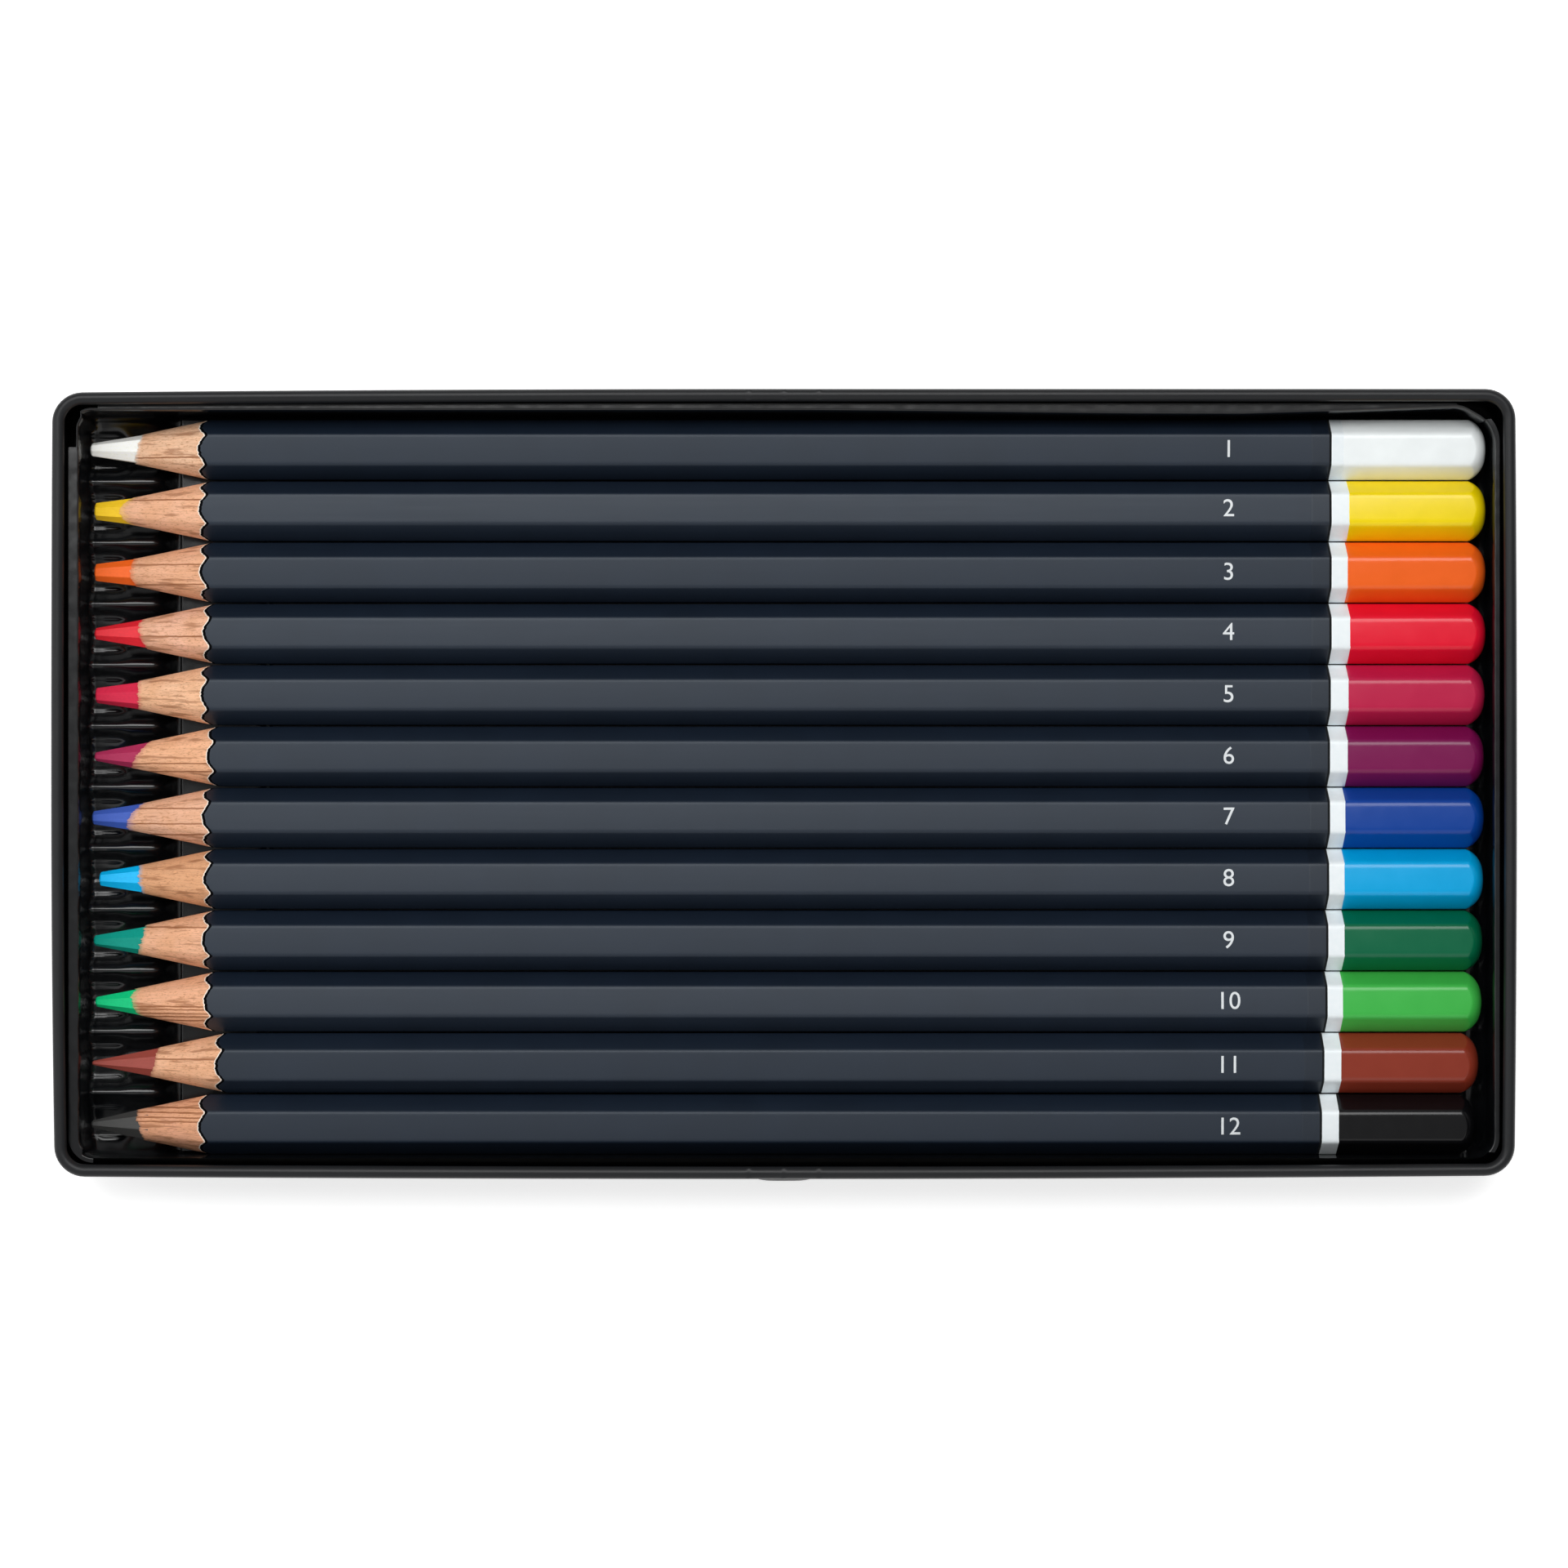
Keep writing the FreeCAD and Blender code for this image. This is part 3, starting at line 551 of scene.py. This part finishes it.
def turn(name, p, rows, flat, finish, softness=CORNER_SOFTNESS, sides=6, roll=None,
         steps=STEPS_AROUND, sharp=38):
    """One coat or core of a pencil, turned from rows of (x, radius, bulge, scallop, pigment edge,
    lacquer edge, along). What a row leaves out at its end is 0."""
    rows = np.array([tuple(row) + (0,) * (7 - len(row)) for row in rows], dtype=float)
    line = bpy.data.meshes.new(name + "_section")
    points = [(x * MM, 0, r * MM) for x, r in rows[:, :2]]
    line.from_pydata(points, [(i, i + 1) for i in range(len(rows) - 1)], [])
    for key, columns in (("follow", rows[:, 2:4]), ("edge", rows[:, 4:6])):
        values = np.column_stack([columns, np.zeros(len(rows))])
        line.attributes.new(key, "FLOAT_VECTOR", "POINT").data.foreach_set("vector", values.ravel())
    line.attributes.new("along", "FLOAT", "POINT").data.foreach_set("value", rows[:, 6])
    piece = new_piece(name, line)
    lathe = piece.modifiers.new("lathe", "NODES")
    lathe.node_group = LATHE
    for key, value in (("Steps Around", steps), ("Sides", float(sides)), ("Half Flat", flat * MM),
                       ("Corner Softness", softness * MM), ("Crown", CROWN), ("Cone Slope", CONE_SLOPE),
                       ("Roll", p.roll if roll is None else roll), ("Axis", [0.0, p.y * MM, p.z * MM]),
                       ("Core Edge", [(p.tip + d - p.bare) * MM for d in p.wood_start]),
                       ("Core Slope", p.core_slope), ("Core Rag", CORE_RAG * MM),
                       ("Lacquer Rag", LACQUER_RAG * MM), ("Seed", p.order * 3.7), ("Finish", finish)):
        lathe[SOCKETS[key]] = value
    plain = plain_mesh(piece)
    piece.modifiers.clear()
    piece.data = plain
    plain.name = name
    bpy.data.meshes.remove(line)
    smooth(plain, sharp)
    return piece


class Pencil:
    """Places of one pencil, read from its solids, and the section lines of its coats."""

    def __init__(self, order, row):
        (self.name, self.pigment, self.dip, self.wood, self.blunt, roll, self.ring_width, self.wood_start,
         self.growth_lines) = row
        self.order = order
        self.body = self.name + "_pencil"
        self.roll = math.radians(roll)
        self.core_roll = order * 0.37 % 0.5 - 0.25   # the blade's flats lie differently on each point
        core, casing, cap = (box_mm(f"{self.body}_{part}") for part in ("core", "casing", "cap"))
        self.tip, self.bare = core[0][0], casing[0][0]
        self.ring, self.end = cap[0][0], cap[1][0]
        self.y, self.z = (core[0] + core[1])[1:] / 2
        self.core_slope = (CORE_RADIUS - self.blunt) / (self.bare - self.tip - NOSE)
        self.wood_end = self.end - WOOD_SHORT

    def cone(self, flat):
        """Where the sharpener's cone reaches this half width."""
        return self.bare + (flat - CORE_RADIUS - BORE_ROOM) / CONE_SLOPE + SCALLOP_SHIFT

    def core_rows(self):
        """Blunt nose, then the pigment's cone, which runs on a little under the wood."""
        thin = CORE_RADIUS - BORE_GAP
        rows = [(self.tip + NOSE * (1 - math.cos(a)), self.blunt * math.sin(a))
                for a in np.radians((0, 20, 40, 58, 75, 90))]
        rows += [(self.bare + x, CORE_RADIUS + x * self.core_slope) for x in (-2.0, 0.0, CORE_UNDER)]
        rows += [(self.bare + CORE_UNDER + 0.05, thin), (self.wood_end, thin), (self.wood_end, 0)]
        return [(x, r * CORE_INSET, r / CORE_RADIUS) for x, r in rows]

    def wood_rows(self):
        """From the ragged start at the pigment up the cone to the lacquer, on under it, and back."""
        edge, rim = self.cone(WOOD_FLAT), CORE_RADIUS + BORE_GAP
        rows = [(self.bare + t * (edge - self.bare), rim + t * (WOOD_FLAT - rim), t, t * SCALLOP,
                 (1 - t) ** 5, t ** 8, t) for t in np.linspace(0, 1, 18)]
        rows += [(x, WOOD_FLAT, 1, 0, 0, 0, 1) for x in (edge + 3, self.wood_end)]
        return rows + [(self.wood_end, rim, 0, 0, 0, 0, 1), (self.bare + 2.5, rim), rows[0]]

    def lacquer_rows(self):
        """The coat's broken front edge, its skin up to the ring, and its inner side."""
        low, high, back = self.cone(WOOD_FLAT), self.cone(LACQUER_FLAT), self.ring + 0.4
        skin, under = LACQUER_FLAT, WOOD_FLAT - SINK
        rows = [(x, r, 1, SCALLOP, 0, 1) for x, r in ((low - 0.06, under), (low, WOOD_FLAT + 0.005),
                                                      (high - 0.03, skin - 0.006), (high + 0.08, skin))]
        rows += [(high + 0.9, skin, 1, SCALLOP, 0, 0.5), (high + 2.4, skin, 1, SCALLOP / 3)]
        rows += [(x, skin, 1) for x in np.linspace(high + 6, back, 8)]
        return rows + [(back, under, 1), (low + 1.5, under, 1, SCALLOP, 0, 1), rows[0]]

    def edge_shade_rows(self):
        """Thin line of painted shade where the blade broke the lacquer's edge."""
        low, high = self.cone(WOOD_FLAT), self.cone(LACQUER_FLAT)
        rows = [(low - 0.10, WOOD_FLAT - SINK), (low - 0.06, WOOD_FLAT + 0.008),
                (high - 0.06, LACQUER_FLAT + 0.006), (high + 0.02, LACQUER_FLAT + 0.004),
                (high + 0.05, LACQUER_FLAT - SINK)]
        return [(x, r, 1, SCALLOP, 0, 1) for x, r in rows + rows[:1]]

    def band_rows(self, start, stop, flat):
        """A thin coat all round, with eased edges."""
        inner = LACQUER_FLAT - SINK
        along, down = BAND_EDGE
        rows = [(start, inner), (start, flat - down), (start + along, flat)]
        rows += [(x, flat) for x in np.linspace(start, stop, 12)[1:-1]]
        rows += [(stop - along, flat), (stop, flat - down), (stop, inner), (start, inner)]
        return [(x, r, 1, 0, 0, 0, x - start) for x, r in rows]

    def cap_rows(self):
        """Hollow coat of the dipped end: inner side, edge at the ring, flats and dome."""
        start, dome, inner = self.ring + self.ring_width, self.end - DOME_HEIGHT, CAP_FLAT - CAP_COAT
        along, down = CAP_EDGE
        rows = [(self.end - 0.7, 0), (self.end - 0.7, 2.2, 0.5), (dome - 0.4, inner, 1, -DOME_SCALLOP),
                (start, inner, 1), (start, CAP_FLAT - down, 1), (start + along, CAP_FLAT, 1),
                (dome - 4.0, CAP_FLAT, 1), (dome - 0.12, CAP_FLAT, 1, -DOME_SCALLOP)]
        low, wide = (part(math.radians(DOME_START)) for part in (math.sin, math.cos))
        for a in np.radians(np.linspace(DOME_START, DOME_STOP, 14)):
            rise, girth = (math.sin(a) - low) / (1 - low), math.cos(a) / wide
            rows.append((dome + DOME_HEIGHT * rise, CAP_FLAT * girth ** DOME_FULLNESS, girth,
                         -DOME_SCALLOP * (1 - rise)))
        return rows + [(self.end, 0)]


def shade_number(p, ink):
    """Plain number of the pencil in the set, a thin printed film on its top flat."""
    text = bpy.data.curves.new(p.body + "_text", "FONT")
    text.body = str(p.order + 1)
    text.size = NUMBER_SIZE * MM
    text.extrude = NUMBER_FILM * MM / 2
    text.align_x = "CENTER"
    text.align_y = "CENTER"
    text.resolution_u = 5
    written = new_piece(p.body + "_text", text)
    mesh = plain_mesh(written)
    bpy.data.objects.remove(written)
    whole = bmesh.new()
    whole.from_mesh(mesh)
    bmesh.ops.remove_doubles(whole, verts=whole.verts, dist=1e-7)
    bmesh.ops.recalc_face_normals(whole, faces=whole.faces)
    whole.to_mesh(mesh)
    whole.free()
    on_flat = Matrix.Translation((0, 0, LACQUER_FLAT * MM))
    on_axis = Matrix.Translation((NUMBER_X * MM, p.y * MM, p.z * MM))
    mesh.transform(on_axis @ Matrix.Rotation(p.roll, 4, "X") @ on_flat)
    mesh.materials.clear()
    mesh.materials.append(ink)
    return new_piece(p.body + "_shade_number", mesh)


def make_pencils(pencils):
    lacquer, collar, shade_line_finish = satin_lacquer(), collar_lacquer(), painted_edge_shade()
    ring = ring_paint("white_undercoat", "#e8f1f4", "#f3f8fa")
    ink = ring_paint("white_printing_ink", "#d2d7da", "#e6eaec")
    for p in pencils:
        collar_rows = p.band_rows(p.ring - COLLAR_WIDTH, p.ring + LAP, COLLAR_FLAT)
        ring_rows = p.band_rows(p.ring, p.ring + p.ring_width + LAP, RING_FLAT)
        point = turn(p.body + "_pigment_point", p, p.core_rows(), CORE_RADIUS, pigment(p), steps=CORE_STEPS,
                     sides=CORE_FLATS, softness=CORE_SOFTNESS, roll=p.core_roll, sharp=24)
        wood = turn(p.body + "_sharpened_wood", p, p.wood_rows(), WOOD_FLAT, casing_wood(p))
        barrel = turn(p.body + "_barrel_lacquer", p, p.lacquer_rows(), LACQUER_FLAT, lacquer)
        # The near-black line at the lacquer's cut edge is painted shade.
        broken = turn(p.body + "_lacquer_edge_shade", p, p.edge_shade_rows(), LACQUER_FLAT, shade_line_finish, sharp=60)
        second = turn(p.body + "_collar", p, collar_rows, COLLAR_FLAT, collar)
        white = turn(p.body + "_ring", p, ring_rows, RING_FLAT, ring, softness=RING_SOFTNESS)
        cap = turn(p.body + "_dipped_end", p, p.cap_rows(), CAP_FLAT, dip_paint(p.name, p.dip),
                   softness=CAP_SOFTNESS)
        hand_over(point, p.body, p.name + "_pigment", p.body + "_core")
        hand_over(wood, p.body, "casing_wood", p.body + "_casing")
        hand_over(barrel, p.body, "dark_lacquer", p.body + "_lacquer")
        hand_over(broken, p.body, "dark_lacquer")
        hand_over(second, p.body, "dark_lacquer")
        hand_over(white, p.body, "white_dip")
        hand_over(cap, p.body, p.name + "_dip", p.body + "_cap")
        hand_over(shade_number(p, ink), p.body, "white_dip")


# Tin tray

def tin_outline(lo, hi, inset):
    """Rounded rectangle of the tray, drawn in by an inset; the same columns for every inset."""
    corner = max(TIN_CORNER - inset, LEAST_CORNER)
    left, right, front, back = lo[0] + inset, hi[0] - inset, lo[1] + CATCH_PROUD + inset, hi[1] - inset
    by_catch = np.linspace(-CATCH_SHARE, CATCH_SHARE, 29)
    long_side = np.sort(np.concatenate([np.linspace(-1, 1, 41)[1:-1], by_catch]))
    short_side = np.linspace(-1, 1, 25)[1:-1]
    quarter = np.radians(np.linspace(0, 90, 11))
    centre = np.array([left + right, front + back]) / 2
    cx, cy = (right - left) / 2 - corner, (back - front) / 2 - corner
    points = []
    for turn_by, run, a, b in ((-90, long_side, cx, cy), (0, short_side, cy, cx),
                               (90, long_side, cx, cy), (180, short_side, cy, cx)):
        facing = math.radians(turn_by)
        normal = np.array([math.cos(facing), math.sin(facing)])
        tangent = np.array([-math.sin(facing), math.cos(facing)])
        points += [normal * (b + corner) + tangent * (t * a) for t in run]
        points += [normal * (b + corner * math.cos(q)) + tangent * (a + corner * math.sin(q))
                   for q in quarter]
    points = np.array(points) + centre
    u, v = 2 * points[:, 0] / (hi[0] - lo[0]), 2 * points[:, 1] / (hi[1] - lo[1])
    amount = np.array(DRAWN_IN)[(u > 0) * 1 + (v > 0) * 2]
    points[:, 0] -= np.sign(u) * amount[:, 0] * np.abs(u) * v ** 2
    points[:, 1] -= np.sign(v) * amount[:, 1] * np.abs(v) * u ** 2
    return points


def tin_section(top):
    """Inset and height of the shell's rings: under the base panel, round the base fillet, up the wall,
    round the rolled rim, and back down the inside."""
    centre = top - BEAD
    bead_inner, fillet_inner = BEAD - SHEET, BASE_FILLET - SHEET
    section = [*reversed(PANEL), (BASE_FILLET + 0.3, 0.0)]
    section += [(BASE_FILLET * (1 - math.sin(a)), BASE_FILLET * (1 - math.cos(a)))
                for a in np.radians(np.linspace(0, 90, 7))]
    section += [(0.0, z) for z in np.linspace(BASE_FILLET, centre, 36)[1:-1]]
    section += [(BEAD - BEAD * math.cos(a), centre + BEAD * math.sin(a))
                for a in np.radians(np.linspace(0, RIM_CURL, 24))]
    section += [(BEAD - bead_inner * math.cos(a), centre + bead_inner * math.sin(a))
                for a in np.radians(np.linspace(RIM_CURL, 0, 16))]
    section += [(SHEET, z) for z in np.linspace(centre, BASE_FILLET, 26)[1:-1]]
    section += [(BASE_FILLET - fillet_inner * math.sin(a), BASE_FILLET - fillet_inner * math.cos(a))
                for a in np.radians((90, 70, 50, 30, 10, 0))]
    return section + [(inset, z + SHEET) for inset, z in PANEL]


def make_tin():
    """Pressed shell, lofted through its rings, with the catch pressed out of the front wall."""
    lo, hi = box_mm("tin_tray")
    rings = []
    for inset, z in tin_section(hi[2]):
        ring = tin_outline(lo, hi, inset)
        u = ring[:, 0] / (CATCH_WIDTH / 2)
        v = (z - (hi[2] - CATCH_BELOW_RIM)) / (CATCH_HEIGHT / 2)
        bump = np.clip(1 - u ** 4, 0, 1) * np.clip(1 - v ** 2, 0, 1)
        ring[:, 1] -= np.where(ring[:, 1] < 0, CATCH_PROUD * bump ** 0.8, 0)
        rings.append(np.column_stack([ring, np.full(len(ring), z)]))
    count = len(rings[0])
    faces = [tuple(reversed(range(count)))]
    for i in range(len(rings) - 1):
        a, b = i * count, (i + 1) * count
        faces += [(a + j, a + (j + 1) % count, b + (j + 1) % count, b + j) for j in range(count)]
    last = (len(rings) - 1) * count
    faces.append(tuple(range(last, last + count)))
    mesh = new_mesh("tin_shell", np.concatenate(rings), faces, black_tinplate())
    smooth(mesh, 50)
    hand_over(new_piece("tin_shell", mesh), "tin", "black_tin", "tin_tray")


# Insert

def ease(value, start, stop):
    """Smooth step from 0 to 1."""
    t = np.clip((value - start) / (stop - start), 0, 1)
    return t * t * (3 - 2 * t)


def wall_height(depth, top, draft, mouth):
    """Height of a leaning pocket wall at a distance inside its rounded mouth."""
    turn_over = np.radians(np.linspace(0, 90 - draft, 10))
    along, down = mouth * np.sin(turn_over), mouth * (1 - np.cos(turn_over))
    lean = math.tan(math.radians(draft))
    along = np.append(along, along[-1] + WALL_DROP * lean)
    down = np.append(down, down[-1] + WALL_DROP)
    return np.interp(depth, along, top - down)


def foot_rise(depth, radius):
    """Rise of the floor in the fillet at a wall's foot."""
    share = np.clip(1 - depth / radius, 0, 1)
    return radius * (1 - np.sqrt(1 - share ** 2))


class Insert:
    """Places of the insert, read from its solid and the pencils, and the shape of its formed sheet."""

    def __init__(self, pencils):
        self.lo, self.hi = box_mm("insert_tray")
        self.left, self.right = self.lo[0] + LIP[0], self.hi[0] - LIP[1]
        self.front, self.back = self.lo[1] + LIP[2], self.hi[1] - LIP[3]
        self.top = self.hi[2]
        self.count = len(pencils)
        self.first = pencils[0].y
        self.pitch = (self.first - pencils[-1].y) / (self.count - 1)

    def grid_lines(self):
        """Grid lines along x and y, closer together where the sheet turns."""
        lo, hi, left, right, front, back = self.lo, self.hi, self.left, self.right, self.front, self.back
        xs = np.concatenate([
            [lo[0], lo[0] + 0.5, left - 0.3, left - 0.04], left + np.arange(0, 1.3, 0.08),
            left + np.array([1.4, 1.6, 2.0, 2.6, 3.0]), np.arange(left + 3.5, BED_END - 0.6, 0.4),
            np.arange(BED_END - 0.5, STEP - 0.7, 0.25), np.arange(STEP - 0.6, STEP + 0.61, 0.12),
            np.arange(STEP + 1.0, RIDGE_START - 3, 2.0),
            np.arange(RIDGE_START - 2.6, RIDGE_START + 0.8, 0.17),
            np.linspace(RIDGE_START + 1.5, TRENCH - 2.2, 12), np.arange(TRENCH - 1.5, TRENCH + 0.6, 0.17),
            np.arange(TRENCH + 0.7, right - 1.0, 0.15), right - np.arange(0.95, 0, -0.08),
            [right, right + 0.04, right + 0.3, hi[0]]])
        half = np.append(TROUGH_LINES, self.pitch / 2)
        axes = self.first - self.pitch * np.arange(self.count)[:, None]
        middle = (axes + np.concatenate([-half[1:-1], half])).ravel()
        ys = np.concatenate([
            [lo[1], front - 0.2, front - 0.02], front + np.arange(0, 0.62, 0.06),
            middle[(middle > front + 0.65) & (middle < back - 0.95)],
            back - np.arange(0.9, 0, -0.07), [back, back + 0.03, back + 0.3, hi[1]]])
        return np.unique(np.round(xs, 4)), np.unique(np.round(ys, 4))

    def floor(self, x, y):
        """Height of the ledged troughs with ribs between them under the tips, then of the platform with
        its ridges."""
        half = self.pitch / 2
        across = (y - self.first) / self.pitch
        between = (across < 0) & (across > 1 - self.count)
        nearest = np.clip(np.round(across), 1 - self.count, 0)
        off = np.abs(across - nearest) * self.pitch
        crest = np.where(between, half, half + OUTER_CREST)
        ledged = (LEDGE_Z - WELL_Z) * ease(off, 0, LEDGE - 0.05)
        ledged += (TIP_CREST_Z - LEDGE_Z) * ease(off, LEDGE + 0.05, crest)
        even = (TIP_CREST_Z - WELL_Z) * ease(off, TROUGH_FLAT, crest)
        rise = ledged + (even - ledged) * ease(x, LEDGE_END - LEDGE_FADE, LEDGE_END)
        height = WELL_Z + rise * (1 - ease(x, BED_END - 0.4, STEP - 0.25))
        platform = ease(x, STEP - 0.22, STEP + 0.22) - ease(x, TRENCH - 0.25, TRENCH + 0.25)
        height += (PLATFORM_Z - WELL_Z) * platform
        ridge = (RIDGE_Z - PLATFORM_Z) * ease(off, half - RIDGE_FLANK[0], half - RIDGE_FLANK[1])
        run = ease(x, RIDGE_START - 0.3, RIDGE_START + 0.3) - ease(x, TRENCH - 0.9, TRENCH - 0.3)
        pip = ease(x, RIDGE_START - 2.1, RIDGE_START - 1.6) - ease(x, RIDGE_START - 1.3, RIDGE_START - 0.8)
        return height + np.where(between, ridge * (run + PIP * pip), 0)

    def walled(self, x, y, height):
        """The floor with the walls, the fillets at their feet and the flange."""
        walls = np.full_like(height, -9.0)
        depths = (x - self.left, self.right - x, y - self.front, self.back - y)
        for depth, draft, mouth, foot in zip(depths, DRAFT, MOUTH, FOOT):
            walls = np.maximum(walls, wall_height(np.clip(depth, 0, None), self.top, draft, mouth))
            height = height + foot_rise(np.clip(depth - mouth, 0, None), foot)
        return np.minimum(np.maximum(height, walls), self.top)

    def bent_corners(self, x, y):
        """The grid with its corners bent round, so the flange and the walls turn with them."""
        px, py = x.copy(), y.copy()
        for (sx, sy), size in zip(((-1, -1), (1, -1), (-1, 1), (1, 1)), FLANGE_CORNERS):
            ox, oy = (self.hi[0] - size) * sx, (self.hi[1] - size) * sy
            u, v = (x - ox) * sx / size, (y - oy) * sy / size
            here = (u > 0) & (v > 0)
            lean = np.where(u >= v, v / np.maximum(u, 1e-9), 2 - u / np.maximum(v, 1e-9)) * np.pi / 4
            px = np.where(here, ox + sx * size * np.maximum(u, v) * np.cos(lean), px)
            py = np.where(here, oy + sy * size * np.maximum(u, v) * np.sin(lean), py)
        return px, py

    def warped(self, x, y, px, py, height):
        """Warp of the thin sheet: the back wall bows out, most near its right end, and sags inwards before
        that, the right wall bulges at its foot and the left wall waves a little."""
        left, right, back, outer = self.left, self.right, self.back, self.hi[1]
        near_back = ease(y, back - BACK_REACH, back)
        bow = (BOW + KICK * ease(x, *KICK_FROM)) * (1 - ease(x, *BOW_STOP)) * near_back
        sag = SAG * ease(x, *SAG_FROM) * (1 - ease(x, *SAG_STOP)) * near_back * (1 - ease(y, back, outer))
        py = np.minimum(py + bow - sag, outer + BACK_LIMIT - BACK_SHARE * (outer - y))
        bulge = ease(x, right - UNDERCUT_REACH[0], right - UNDERCUT_REACH[1])
        px = px + math.tan(math.radians(UNDERCUT)) * (self.top - height) * bulge
        near_left = np.exp(-((x - left - WAVE_REACH) / WAVE_REACH) ** 2)
        return px + WAVE * np.sin(y * 1.9) * np.sin(y * 0.63 + 1) * near_left, py

    def trimmed(self, xs, ys):
        """Cells of the grid where the flange was trimmed away: the back end of the left side, both ends
        of the back, and the front but for its left end."""
        x_low, x_high, y_low, y_high = xs[:-1, None], xs[1:, None], ys[None, :-1], ys[None, 1:]
        cut = (x_high <= self.left - 0.03) & (y_high > self.hi[1] - NOTCH)
        cut |= (x_high <= self.left + 3.0) & (y_low >= self.back + 0.02)
        cut |= (x_low >= FLANGE_STOP) & (y_low >= self.back + 0.02)
        cut |= (x_low >= self.left + 2.0) & (y_high <= self.front + 0.13)
        return cut


def make_insert(pencils):
    """One formed sheet as a height field, with its lower side and the edges between the two."""
    insert = Insert(pencils)
    xs, ys = insert.grid_lines()
    x, y = np.meshgrid(xs, ys, indexing="ij")
    height = insert.walled(x, y, insert.floor(x, y))
    px, py = insert.warped(x, y, *insert.bent_corners(x, y), height)
    upper = np.stack([px, py, height], axis=-1).reshape(-1, 3)
    lower = upper - (0, 0, INSERT_SHEET)
    cols, total = len(ys), len(upper)
    faces, edges = [], set()
    for i, j in zip(*np.nonzero(~insert.trimmed(xs, ys))):
        a, b = int(i * cols + j), int((i + 1) * cols + j)
        quad = (a, b, b + 1, a + 1)
        faces += [quad, tuple(total + k for k in reversed(quad))]
        edges |= set(zip(quad, quad[1:] + quad[:1]))
    faces += [(b, a, total + a, total + b) for a, b in sorted(edges) if (b, a) not in edges]
    mesh = new_mesh("insert_shell", np.concatenate([upper, lower]), faces, formed_plastic())
    loose = bmesh.new()
    loose.from_mesh(mesh)
    bmesh.ops.delete(loose, geom=[vert for vert in loose.verts if not vert.link_faces], context="VERTS")
    loose.to_mesh(mesh)
    loose.free()
    smooth(mesh, 60)
    hand_over(new_piece("insert_shell", mesh), "insert", "black_insert", "insert_tray")


# Stage, lights and camera

def make_stage():
    """Pale floor that takes the shadow; a little light of its own, seen by the camera and in reflections
    but not cast on the object, brings it to white."""
    finish, tree, place = start_finish("pale_studio_floor")
    mottle = add(tree, NOISE, {"Vector": place, "Scale": per(40.0)})[0]
    shade = add(tree, MIX, {0: mottle, 6: paint("#f3f3f3"), 7: paint("#f7f7f7")}, data_type="RGBA")[2]
    diffuse = add(tree, "ShaderNodeBsdfDiffuse", {"Color": shade})[0]
    rays = add(tree, "ShaderNodeLightPath")
    seen = add(tree, MATH, {0: rays["Is Camera Ray"], 1: rays["Is Glossy Ray"]}, operation="MAXIMUM")[0]
    seen = add(tree, MATH, {0: seen, 1: rays["Is Transmission Ray"]}, operation="MAXIMUM")[0]
    lift = add(tree, MATH, {0: seen, 1: FLOOR_LIFT}, operation="MULTIPLY")[0]
    glow = add(tree, "ShaderNodeEmission", {"Strength": lift})[0]
    both = add(tree, "ShaderNodeAddShader", {0: diffuse, 1: glow})[0]
    add(tree, "ShaderNodeOutputMaterial", {"Surface": both})
    points = [(x * FLOOR_REACH, y * FLOOR_REACH, FLOOR_Z) for x, y in ((-1, -1), (1, -1), (1, 1), (-1, 1))]
    new_piece("studio_floor", new_mesh("studio_floor", points, [(0, 1, 2, 3)], finish))


def make_lights():
    world = bpy.data.worlds.new("studio")
    bpy.context.scene.world = world
    world.use_nodes = True
    tree = world.node_tree
    tree.nodes.clear()
    rays = add(tree, "ShaderNodeLightPath")
    level = add(tree, MIX, {0: rays["Is Camera Ray"], 2: WORLD_LEVEL, 3: 1.0}, data_type="FLOAT")[0]
    glow = add(tree, "ShaderNodeBackground", {"Color": (1, 1, 1, 1), "Strength": level})[0]
    add(tree, "ShaderNodeOutputWorld", {"Surface": glow})
    for name, place, size, power in LAMPS:
        lamp = bpy.data.lights.new(name, "AREA")
        lamp.shape = "RECTANGLE"
        lamp.size, lamp.size_y = size
        lamp.energy = power
        held = new_piece(name, lamp)
        held.location = place
        direction = held.location.copy()
        direction.negate()
        held.rotation_euler = direction.to_track_quat("-Z", "Y").to_euler()


def make_camera():
    """Straight down on the plane of the pencils' axes."""
    lens = bpy.data.cameras.new("camera")
    lens.sensor_fit = "HORIZONTAL"
    lens.angle = 2 * math.atan(VIEW_WIDTH / 2 / VIEW_HEIGHT)
    lens.clip_start = 0.01
    camera = new_piece("camera", lens)
    camera.location = (0.0, 0.0, (AXIS_Z + VIEW_HEIGHT) * MM)
    bpy.context.scene.camera = camera


PENCIL_SET = [Pencil(order, row) for order, row in enumerate(PENCILS)]
make_camera()
make_lights()
make_stage()
make_tin()
make_insert(PENCIL_SET)
make_pencils(PENCIL_SET)

bpy.context.scene.view_settings.view_transform = "Standard"
